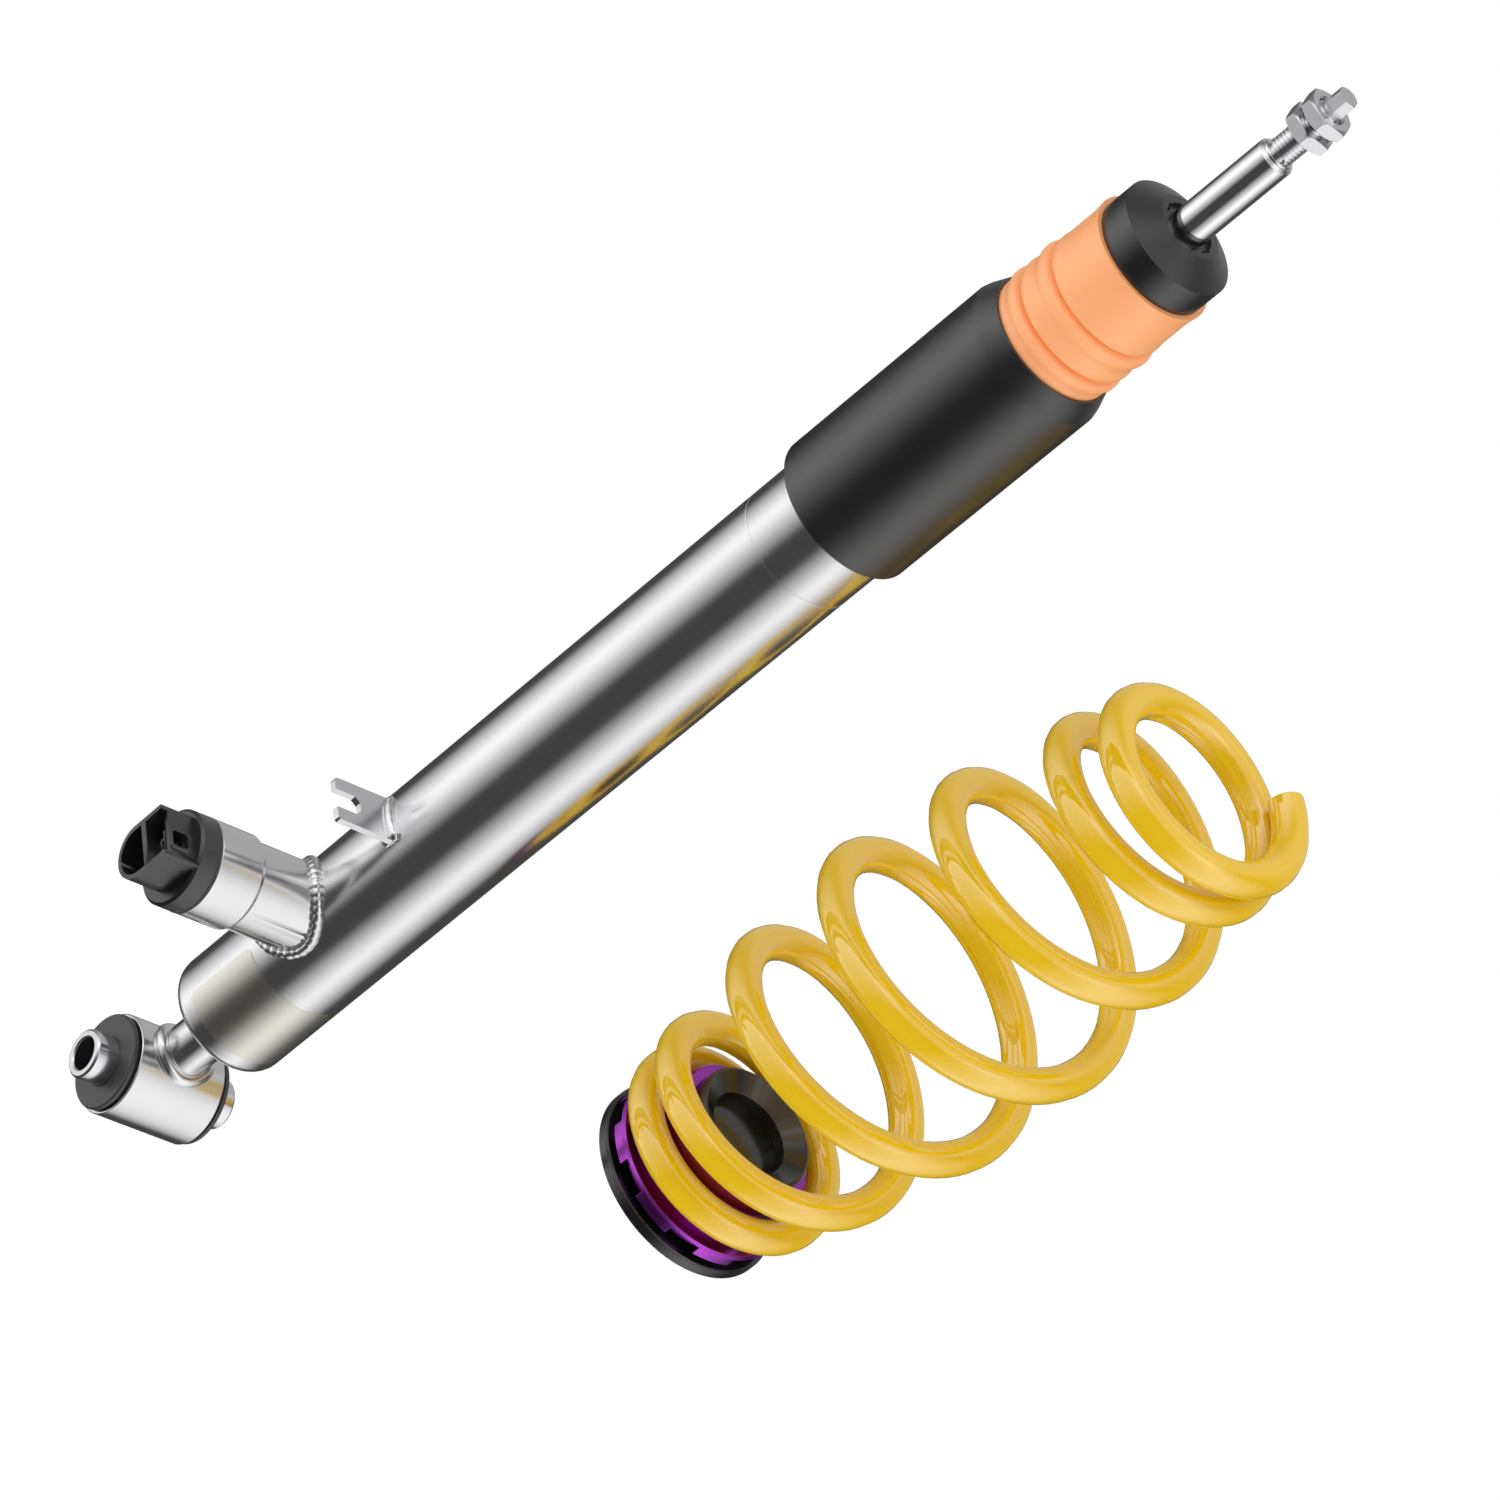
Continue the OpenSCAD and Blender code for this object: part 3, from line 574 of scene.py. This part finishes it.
def make_barrel():
    bottom_round = 6.0
    groove_z = 354.0
    bore = BARREL_R - BARREL_WALL
    lip_r = ROD_R + 5.0
    base = arc((BARREL_R - bottom_round, BARREL_LOW + bottom_round), bottom_round, -90, 0, 10)
    outline = [(0, BARREL_LOW)] + base + [
        (BARREL_R, groove_z - 0.4), (BARREL_R - 0.2, groove_z - 0.2),
        (BARREL_R - 0.2, groove_z + 0.2), (BARREL_R, groove_z + 0.4),
        (BARREL_R, BARREL_HIGH), (lip_r, BARREL_HIGH), (lip_r, BARREL_HIGH - 2),
        (bore, BARREL_HIGH - 2), (bore, BARREL_LOW + 8), (bore - 3, BARREL_LOW + 5),
        (0, BARREL_LOW + 5)]
    barrel = turned("barrel_shell", outline, FINE, 0.12, close=False)
    hand_over(barrel, "barrel", "stainless", "barrel_tube")

    skirt = 9.0
    top = BARREL_HIGH + 1.5
    cap_r = radius_about("strike_cap")
    hole_r = ROD_R + 3.0
    cap = turned("strike_cap_ring", [
        (hole_r, BARREL_HIGH + 0.05), (BARREL_R + 0.02, BARREL_HIGH + 0.05),
        (BARREL_R + 0.02, BARREL_HIGH - skirt), (cap_r, BARREL_HIGH - skirt),
        (cap_r, top - 1), (cap_r - 1, top), (hole_r, top)], FINE, 0.3)
    hand_over(cap, "barrel", "strike_cap_steel", "strike_cap")


def make_label():
    """A plain film round part of the barrel, with rounded corners."""
    bottom, top = low("type_label")[2], high("type_label")[2]
    sweep, start, film = math.radians(110), math.radians(-80), 0.1
    corner = 3.0
    length = BARREL_R * sweep
    outline = (arc((length - corner, top - corner), corner, 0, 90)
               + arc((corner, top - corner), corner, 90, 180)
               + arc((corner, bottom + corner), corner, 180, 270)
               + arc((length - corner, bottom + corner), corner, 270, 360))
    label = plate("type_label_film", outline, 0, film, 0)
    bpy.ops.object.mode_set(mode="EDIT")
    slices = 44
    for i in range(1, slices):
        bpy.ops.mesh.select_all(action="SELECT")
        bpy.ops.mesh.bisect(plane_co=(length * i / slices * MM, 0, 0), plane_no=(1, 0, 0))
    bpy.ops.object.mode_set(mode="OBJECT")
    for vertex in label.data.vertices:
        turn = start + vertex.co.x / (BARREL_R * MM)
        reach = (BARREL_R + 0.02) * MM + vertex.co.z
        vertex.co = (reach * math.cos(turn), reach * math.sin(turn), vertex.co.y)
    bpy.ops.object.shade_smooth_by_angle(angle=math.radians(30))
    hand_over(label, "barrel", "label_film", "type_label")


def make_bracket():
    corner, slot_half, slot_end, notch = 1.5, 3.75, 36.0, 2.0
    half, tip = BRACKET_HALF, BRACKET_TIP
    root = BARREL_R - 2.0
    outline = ([(half, -root)] + [(half, -tip + corner)]
               + arc((half - corner, -tip + corner), corner, 0, -90, 4)
               + [(slot_half, -tip), (slot_half, -slot_end - notch), (slot_half - notch, -slot_end),
                  (-slot_half + notch, -slot_end), (-slot_half, -slot_end - notch),
                  (-slot_half, -tip)]
               + arc((-half + corner, -tip + corner), corner, -90, -180, 4) + [(-half, -root)])
    bracket = plate("cable_clip_bracket", outline, BRACKET_LOW, BRACKET_HIGH, 0)
    carve(bracket, bar(BARREL_R - 0.2, BRACKET_LOW - 5, BRACKET_HIGH + 5, sides=FINE))
    soften(bracket, 0.35, 3)
    hand_over(bracket, "barrel", "zinc_plate", "cable_bracket")
    sweep = 46.0
    nodes = ("bracket_weld",)
    for name, height in (("bracket_weld_under", BRACKET_LOW - 0.8),
                         ("bracket_weld_over", BRACKET_HIGH + 0.8)):
        def along(share, height=height):
            turn = math.radians(-90 + sweep * (share - 0.5))
            return ((BARREL_R + 0.5) * math.cos(turn), (BARREL_R + 0.5) * math.sin(turn), height)
        bead = rippled_bead(name, along, 1.8, BARREL_R * math.radians(sweep), False, 4.0, 0.03)
        hand_over(bead, "barrel", "weld_bead", *nodes)


# ---- Side valve --------------------------------------------------------------------------------


def make_valve_shell():
    wall = 1.5
    bore = BRANCH_R - wall
    branch = turned("valve_branch_tube", [(bore, 15), (BRANCH_R, 15), (BRANCH_R, BRANCH_END),
                                          (bore, BRANCH_END)], FINE, 0.2)
    lay_along_valve(branch)
    carve(branch, bar(BARREL_R - 0.3, VALVE_Z - 40, VALVE_Z + 40, sides=FINE))
    soften(branch, 0)
    hand_over(branch, "barrel", "stainless", "valve_branch")
    housing = turned("valve_housing_shell", [
        (bore, BRANCH_END - 0.6), (BRANCH_R + 0.02, BRANCH_END - 0.6), (HOUSING_R - 1, BRANCH_END),
        (HOUSING_R, BRANCH_END + 1.2), (HOUSING_R, HOUSING_END - 0.2),
        (HOUSING_R - 0.4, HOUSING_END), (bore, HOUSING_END)], FINE, 0.3)
    hand_over(lay_along_valve(housing), "barrel", "stainless", "valve_housing")
    seal = turned("valve_seal_ring", [
        (bore, HOUSING_END), (HOUSING_R - 0.3, HOUSING_END), (HOUSING_R + 0.1, HOUSING_END + 0.3),
        (HOUSING_R + 0.1, SEAL_END - 0.3), (HOUSING_R - 0.3, SEAL_END), (bore, SEAL_END)],
        FINE, 0.1)
    hand_over(lay_along_valve(seal), "barrel", "black_rubber", "valve_seal")


def make_branch_weld():
    ring_r = BRANCH_R + 0.5

    def saddle(share):
        turn = math.tau * share
        x, up = ring_r * math.cos(turn), ring_r * math.sin(turn)
        return (x, -math.sqrt(BARREL_R ** 2 - x ** 2) - 0.5, VALVE_Z + up)

    bead = rippled_bead("branch_weld_bead", saddle, 2.1, math.tau * ring_r * 1.1, pitch=3.0,
                        depth=0.12)
    hand_over(bead, "barrel", "weld_bead", "branch_weld")


def hood_outline(shrink):
    """The connector hood's outline: round below and flat above, drawn in by shrink."""
    middle, half_width, round_z, flat_z = 2.0, 10.4, -1.6, 13.2
    half = half_width - shrink
    return ([(middle + half, flat_z - shrink), (middle - half, flat_z - shrink)]
            + arc((middle, round_z), half, 180, 360, 24))


def make_valve_cap():
    bore = BRANCH_R - 1.5
    floor = FLANGE_END + 3
    wall = 1.7
    port_x, port_out = 4.6, HOOD_END - 6.9
    cap = turned("valve_cap_body", [
        (0, SEAL_END - 2), (bore, SEAL_END - 2), (bore, SEAL_END), (HOUSING_R, SEAL_END),
        (HOUSING_R, FLANGE_END - 1), (HOUSING_R - 1, FLANGE_END), (0, FLANGE_END)],
        FINE, 0, close=False)
    carve(cap, plate("hood", hood_outline(0), FLANGE_END - 1, HOOD_END, 0), "UNION")
    inside = plate("hood_inside", hood_outline(wall), floor, HOOD_END + 1, 0)
    carve(inside, block((-20, 2, floor - 1), (44, 2.4, 30)))
    carve(inside, block((port_x - 4.25, 10.2, port_out - 4.25), (8.5, 6, 8.5)))
    carve(inside, block((-0.6, 2, floor - 1), (5.2, 7, 6)))
    carve(cap, inside)
    rim = block((port_x - 4.25, 12, port_out - 4.25), (8.5, 1.9, 8.5))
    modify(rim, "BEVEL", width=1.2 * MM, segments=3)
    carve(cap, rim, "UNION")
    port = block((port_x - 3.15, 5, port_out - 3.15), (6.3, 12, 6.3))
    modify(port, "BEVEL", width=1.2 * MM, segments=3)
    carve(cap, port)
    carve(cap, block((2 - 8.7, 10, HOOD_END - 2.6), (17.4, 5, 4)))
    for width, depth in ((2.2, 0.7), (0.7, 2.2)):
        carve(cap, block((2 - width / 2, 6.4 - depth / 2, floor + 2), (width, depth, 5)))
    soften(cap, 0.3, 2)
    hand_over(lay_along_valve(cap), "barrel", "moulded_black", "valve_cap")


# ---- Rod ---------------------------------------------------------------------------------------

NUT_HEIGHT, NUT_ACROSS = 5.2, 16.0
DRIVE_ACROSS = 7.0
CORNER_TURN = 27.75  # degrees by which the nuts' and the drive end's corners are turned


def make_thread(name, crest_r, depth, pitch, bottom, top, sides):
    """A helical thread from height bottom to height top, closed at both ends."""
    turns = round((top - bottom) / pitch)
    root_r = crest_r - depth
    piece = draw_wire([(root_r, 0, bottom), (root_r, 0, bottom + pitch * 0.14),
                       (crest_r, 0, bottom + pitch * 0.5), (crest_r, 0, bottom + pitch * 0.62),
                       (root_r, 0, bottom + pitch)], False)
    bpy.ops.object.mode_set(mode="OBJECT")
    modify(piece, "SCREW", axis="Z", angle=math.tau, screw_offset=pitch * MM, iterations=turns - 1,
           steps=sides, render_steps=sides, use_merge_vertices=True,
           merge_threshold=0.002 * MM, use_smooth_shade=True)
    bpy.ops.object.mode_set(mode="EDIT")
    bpy.ops.mesh.select_all(action="SELECT")
    bpy.ops.mesh.remove_doubles(threshold=0.002 * MM)
    middle = (bottom + top) / 2 * MM
    mesh = bmesh.from_edit_mesh(piece.data)
    for is_upper in (False, True):
        bpy.ops.mesh.select_all(action="DESELECT")
        for edge in mesh.edges:
            if edge.is_boundary and (edge.verts[0].co.z > middle) == is_upper:
                edge.select_set(True)
        bpy.ops.mesh.edge_face_add()
    weld_doubles()
    bpy.ops.object.shade_smooth_by_angle(angle=math.radians(70))
    piece.name = name
    return piece


def make_rod():
    spigot_r, spigot_low, spigot_high = 5.0, low("piston_rod")[2], 329.0
    neck_r = STUD_R - 1.0
    rod = turned("piston_rod_bar", [
        (0, spigot_low), (spigot_r - 0.5, spigot_low), (spigot_r, spigot_low + 0.5),
        (spigot_r, spigot_high), (ROD_R, spigot_high), (ROD_R, SHOULDER_Z - 1.1),
        (ROD_R - 1.1, SHOULDER_Z), (STUD_R + 0.7, SHOULDER_Z), (STUD_R + 0.7, SHOULDER_Z + 0.7),
        (STUD_R + 0.3, SHOULDER_Z + 1), (neck_r, SHOULDER_Z + 1), (neck_r, STUD_END - 0.6),
        (0, STUD_END - 0.6)],
        NORMAL, 0.2, close=False)
    hand_over(rod, "rod", "rod_chrome", "piston_rod")
    thread = make_thread("stud_thread", STUD_R, 0.9, STUD_PITCH, SHOULDER_Z + 0.6,
                         STUD_END - 0.2, SMALL)
    hand_over(thread, "rod", "zinc_plate", "piston_rod")
    corner_r = DRIVE_ACROSS / math.sqrt(3)
    end = turned("rod_drive_end", [
        (0, STUD_END - 1), (STUD_R - 0.9, STUD_END - 1), (STUD_R - 0.9, STUD_END - 0.2),
        (STUD_R - 1.2, STUD_END), (corner_r + 0.3, STUD_END), (corner_r + 0.3, ROD_TIP - 0.5),
        (corner_r - 0.5, ROD_TIP), (0, ROD_TIP)], SMALL, 0, close=False)
    flats = hexagon(DRIVE_ACROSS, STUD_END, ROD_TIP + 1)
    carve(flats, bar(20, STUD_END - 4, STUD_END, sides=SMALL), "UNION")
    carve(end, flats, "INTERSECT")
    soften(end, 0.15, 2)
    hand_over(end, "rod", "zinc_plate", "piston_rod")
    for i, bottom in enumerate((low("rod_nuts")[2], high("rod_nuts")[2] - NUT_HEIGHT)):
        hand_over(make_nut(f"rod_nut_{i + 1}", bottom), "rod", "zinc_plate", "rod_nuts")


def hexagon(across, bottom, top):
    corner_r = across / math.sqrt(3)
    points = [(corner_r * math.cos(math.radians(CORNER_TURN + 60 * i)),
               corner_r * math.sin(math.radians(CORNER_TURN + 60 * i))) for i in range(6)]
    return plate("hexagon", points, bottom, top, 0)


def make_nut(name, bottom):
    top = bottom + NUT_HEIGHT
    corner_r = NUT_ACROSS / math.sqrt(3)
    face_r = NUT_ACROSS / 2 - 0.4
    drop = (corner_r - face_r) * math.tan(math.radians(32))
    mouth = STUD_R + 0.5
    body = turned(name, [
        (STUD_R + 0.03, bottom + 0.5), (mouth, bottom), (face_r, bottom),
        (corner_r + 0.01, bottom + drop), (corner_r + 0.01, top - drop), (face_r, top),
        (mouth, top), (STUD_R + 0.03, top - 0.5)], FINE, 0)
    carve(body, hexagon(NUT_ACROSS, bottom - 1, top + 1), "INTERSECT")
    soften(body, 0.2, 2)
    return body


# ---- Bump stop, cap and dust tube --------------------------------------------------------------


def bulge(height, centre, width):
    return math.exp(-((height - centre) / width) ** 2)


def stop_radius(height):
    """The bump stop's outside: a plain barrel above, two beads between sharp creases below."""
    plain = 23.2 + 0.3 * bulge(height, 506.2, 1.6) + 0.5 * bulge(height, STOP_HIGH, 3.0)
    beads = (1.3 * bulge(height, 499.4, 3.0) + 0.8 * bulge(height, 491.4, 2.4)
             + 1.2 * bulge(height, 485.0, 2.6) + 0.4 * bulge(height, 478.4, 2.0))
    creases = 1.9 * bulge(height, 502.8, 0.75) + 1.9 * bulge(height, 488.0, 0.75)
    foot = 1.2 * bulge(height, STOP_LOW, 4.0)
    return plain + beads - creases - foot


def make_bump_set():
    step = 0.4
    bore = ROD_R + 0.5
    count = round((STOP_HIGH - STOP_LOW) / step)
    heights = [STOP_LOW + step * i for i in range(count + 1)]
    mouth = radius_about("dust_tube") - 4.05 - 0.15
    side = [(min(stop_radius(h), mouth if DUST_HIGH - 6 < h < DUST_HIGH + 0.3 else 99), h)
            for h in heights]
    stop = turned("bump_stop_body", [(bore, STOP_LOW)] + side + [(bore, STOP_HIGH)], NORMAL, 0)
    hand_over(stop, "bump_set", "peach_foam", "bump_stop")

    shoulder, recess_r, face_r, recess = CAP_HIGH - 5.5, 9.6, 12.4, 1.5
    cap = turned("bump_cap_body", [
        (ROD_R + 0.1, STOP_HIGH), (CAP_R, STOP_HIGH), (CAP_R, shoulder), (face_r, CAP_HIGH),
        (recess_r, CAP_HIGH), (recess_r - 0.4, CAP_HIGH - recess),
        (ROD_R + 0.1, CAP_HIGH - recess)], FINE, 0)
    notch_turn, notch_out, notch_r, notch_depth = math.radians(47), 9.3, 0.9, 2.5
    for side in (1, -1):
        notch = (side * notch_out * math.cos(notch_turn), side * notch_out * math.sin(notch_turn))
        carve(cap, bar(notch_r, CAP_HIGH - notch_depth, CAP_HIGH + 1, notch, 24))
    soften(cap, 0.3, 2)
    hand_over(cap, "bump_set", "moulded_black", "bump_cap")

    wall = 1.5
    bore = DUST_R - wall
    mouth_r = DUST_R - 4.05
    shoulder = DUST_HIGH - 9
    tube = turned("dust_tube_sleeve", [
        (bore, DUST_LOW), (DUST_R - 1.2, DUST_LOW), (DUST_R, DUST_LOW + 1.2),
        (DUST_R, shoulder), (DUST_R - 0.6, shoulder + 2.5), (mouth_r + 1, DUST_HIGH),
        (mouth_r, DUST_HIGH), (mouth_r, DUST_HIGH - 5), (bore, shoulder - 1)], FINE, 0.35)
    hand_over(tube, "bump_set", "dust_tube_black", "dust_tube")


# ---- Spring and height adjuster ----------------------------------------------------------------

COIL_START, COIL_END = -0.35, 6.65
END_COIL_R, BELLY = 37.0, 17.0
DEAD_PITCH, LIVE_PITCH = 11.6, 52.5
START_ANGLE = -133.25


def ramp(turn, start, end):
    share = max(0.0, min(1.0, (turn - start) / (end - start)))
    return share * share * (3 - 2 * share)


def coil_pitch(turn):
    return DEAD_PITCH + (LIVE_PITCH - DEAD_PITCH) * (ramp(turn, 0.15, 1.8) - ramp(turn, 4.3, 6.2))


def coil_radius(turn):
    return END_COIL_R + BELLY * math.sin(math.radians(30) * max(0.0, min(6.0, turn))) ** 2


def make_spring():
    """One wire with open middle coils and a nearly flat coil at each end."""
    per_turn = 72
    count = round((COIL_END - COIL_START) * per_turn)
    height = SEAT_Z + WIRE_R + 0.1
    points = []
    for i in range(count + 1):
        turn = COIL_START + i / per_turn
        angle = math.radians(START_ANGLE + 360 * turn)
        radius = coil_radius(turn)
        points.append((SPRING_X + radius * math.cos(angle), SPRING_Y + radius * math.sin(angle),
                       height))
        height += coil_pitch(turn + 0.5 / per_turn) / per_turn
    spring = swept("coil_spring_wire", points, [WIRE_R] * len(points), False, sides=7)
    modify(spring, "BEVEL", width=0.7 * MM, segments=3, limit_method="ANGLE",
           angle_limit=math.radians(50))
    bpy.ops.object.shade_smooth_by_angle(angle=math.radians(50))
    spring.data.materials.clear()
    spring.data.materials.append(FINISHES["spring_yellow"])
    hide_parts("coil_spring", "spring_top_coil")
    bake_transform(spring)


def make_adjuster():
    rim, cone = 1.5, 4.5
    foot_t = 5.0
    core = turned("adjuster_core_body", [
        (CORE_BORE, FOOT_Z), (FOOT_R - 0.8, FOOT_Z), (FOOT_R, FOOT_Z + 0.8),
        (FOOT_R, FOOT_Z + foot_t - 0.8), (FOOT_R - 0.8, FOOT_Z + foot_t),
        (CORE_R - 1.2, FOOT_Z + foot_t), (CORE_R - 1.2, COLLAR_HIGH - 3),
        (CORE_R, COLLAR_HIGH - 1.8), (CORE_R, CORE_TOP - 0.8), (CORE_R - 0.8, CORE_TOP),
        (CORE_R - rim, CORE_TOP), (CORE_BORE, CORE_TOP - cone)], FINE, 0.25)
    hand_over(move_to_spring(core), "arm_side", "black_anodised", "adjuster_core")
    thread = make_thread("adjuster_core_thread", CORE_R - 0.02, 1.1, 2.0, FOOT_Z + foot_t + 1,
                         COLLAR_HIGH - 2, NORMAL)
    hand_over(move_to_spring(thread), "arm_side", "black_anodised", "adjuster_core")

    teeth, share, tooth_h, tooth_depth = 8, 0.56, 4.2, 4.0
    collar = turned("adjuster_collar_ring", [
        (CORE_R + 0.05, COLLAR_LOW), (COLLAR_R - 0.4, COLLAR_LOW), (COLLAR_R, COLLAR_LOW + 0.4),
        (COLLAR_R, SEAT_Z - 1), (COLLAR_R - 1, SEAT_Z), (HUB_R, SEAT_Z),
        (HUB_R, COLLAR_HIGH - 1), (HUB_R - 1, COLLAR_HIGH), (CORE_R + 0.05, COLLAR_HIGH)],
        FINE, 0)
    gap = 360 / teeth * (1 - share)
    inner, outer = COLLAR_R - tooth_depth, COLLAR_R + 3
    for i in range(teeth):
        middle = START_ANGLE + 90 + (i + 0.5) * 360 / teeth
        outline = (arc((0, 0), inner, middle - gap / 2, middle + gap / 2, 6)
                   + arc((0, 0), outer, middle + gap / 2, middle - gap / 2, 6))
        carve(collar, plate("notch", outline, COLLAR_LOW - 1, COLLAR_LOW + tooth_h, 0))
    soften(collar, 0.25, 2)
    hand_over(move_to_spring(collar), "collar", "violet_anodised", "adjuster_collar")


# ---- Pieces kept as packed ---------------------------------------------------------------------


def finish_kept_nodes():
    for part in frame["record"]["subparts"]:
        node = frame["nodes"][part["node"]]
        node.data.materials.clear()
        node.data.materials.append(FINISHES[part["material_slot"]])


# ---- Studio ------------------------------------------------------------------------------------

CAMERA_AZIMUTH, CAMERA_ELEVATION, CAMERA_ROLL = 46.753, 33.7, 51.241
CAMERA_AIM = (-0.0683, 0.1217, 0.1995)
CAMERA_DISTANCE = 2.676


def make_camera():
    turn, tilt = math.radians(CAMERA_AZIMUTH), math.radians(CAMERA_ELEVATION)
    back = Vector((math.sin(turn) * math.cos(tilt), -math.cos(turn) * math.cos(tilt),
                   math.sin(tilt)))
    right = Vector((math.cos(turn), math.sin(turn), 0))
    up = back.cross(right)
    roll = math.radians(CAMERA_ROLL)
    side = right * math.cos(roll) + up * math.sin(roll)
    top = up * math.cos(roll) - right * math.sin(roll)
    data = bpy.data.cameras.new("camera")
    data.lens = 180
    data.sensor_width = 36
    data.clip_end = 200
    camera = bpy.data.objects.new("camera", data)
    scene.collection.objects.link(camera)
    facing = Matrix((side, top, back)).transposed().to_4x4()
    camera.matrix_world = Matrix.Translation(Vector(CAMERA_AIM) + back * CAMERA_DISTANCE) @ facing
    scene.camera = camera


def make_floor():
    deselect()
    bpy.ops.mesh.primitive_plane_add(size=60, location=(0, 0, -0.9))
    floor = bpy.context.object
    floor.name = "studio_floor"
    floor.visible_glossy = False
    material, tree, shader = finish("pale floor", Roughness=0.9)
    place = tree.nodes.new("ShaderNodeTexCoord").outputs["Object"]
    blend_colours(tree, noise_node(tree, place, 0.8), (0.93, 0.93, 0.93), (0.95, 0.95, 0.95),
                  shader.inputs["Base Color"])
    floor.data.materials.append(material)


# The soft panels that shiny pieces mirror. Angles are in degrees: round the object from the
# camera's side, and up from the horizon. Each panel fades out over the width of its soft edge.
PANELS = [
    # middle, half width, soft edge, bottom, top, brightness
    (-75, 5, 50, -70, 60, 1.2),
    (70, 5, 45, -70, 60, 1.1),
    (180, 20, 40, -30, 60, 0.4),
]
OVERHEAD_START, OVERHEAD_BRIGHTNESS = 50, 0.5
FILL_BRIGHTNESS = 0.06
PANEL_RISE = 15
EVEN_BRIGHTNESS = 1.1


def make_world():
    """Even light on dull surfaces, and a few soft panels for the shiny ones to mirror."""
    world = bpy.data.worlds.new("studio")
    scene.world = world
    world.use_nodes = True
    tree = world.node_tree
    direction = tree.nodes.new("ShaderNodeTexCoord").outputs["Generated"]
    turn = tree.nodes.new("ShaderNodeVectorRotate")
    turn.rotation_type = "Z_AXIS"
    turn.inputs["Angle"].default_value = math.radians(90 - CAMERA_AZIMUTH)
    tree.links.new(direction, turn.inputs["Vector"])
    split = tree.nodes.new("ShaderNodeSeparateXYZ")
    tree.links.new(turn.outputs["Vector"], split.inputs["Vector"])

    def calculate(operation, *values):
        node = tree.nodes.new("ShaderNodeMath")
        node.operation = operation
        for i, value in enumerate(values):
            if isinstance(value, (int, float)):
                node.inputs[i].default_value = value
            else:
                tree.links.new(value, node.inputs[i])
        return node.outputs[0]

    around = calculate("ARCTAN2", split.outputs["Y"], split.outputs["X"])
    height = calculate("ARCSINE", split.outputs["Z"])

    def rise_at(degrees):
        return between(tree, height, 0.0, 1.0, math.radians(degrees),
                       math.radians(degrees + PANEL_RISE))

    overhead = calculate("MULTIPLY", rise_at(OVERHEAD_START), OVERHEAD_BRIGHTNESS)
    level = calculate("ADD", overhead, FILL_BRIGHTNESS)
    for middle, half_width, edge, bottom, top, brightness in PANELS:
        offset = calculate("SUBTRACT", around, math.radians(middle))
        offset = calculate("ABSOLUTE", calculate("WRAP", offset, math.pi, -math.pi))
        across = between(tree, offset, brightness, 0.0, math.radians(half_width),
                         math.radians(half_width + edge))
        tall = calculate("SUBTRACT", rise_at(bottom), rise_at(top))
        level = calculate("MULTIPLY_ADD", across, tall, level)
    paths = tree.nodes.new("ShaderNodeLightPath")
    choice = tree.nodes.new("ShaderNodeMix")
    tree.links.new(paths.outputs["Is Glossy Ray"], choice.inputs["Factor"])
    choice.inputs["A"].default_value = EVEN_BRIGHTNESS
    tree.links.new(level, choice.inputs["B"])
    background = tree.nodes["Background"]
    background.inputs["Color"].default_value = (1, 1, 1, 1)
    tree.links.new(choice.outputs["Result"], background.inputs["Strength"])


make_camera()
make_floor()
make_world()
finish_kept_nodes()
make_eye()
make_bush()
make_eye_weld()
make_barrel()
make_label()
make_bracket()
make_valve_shell()
make_branch_weld()
make_valve_cap()
make_rod()
make_bump_set()
make_spring()
make_adjuster()
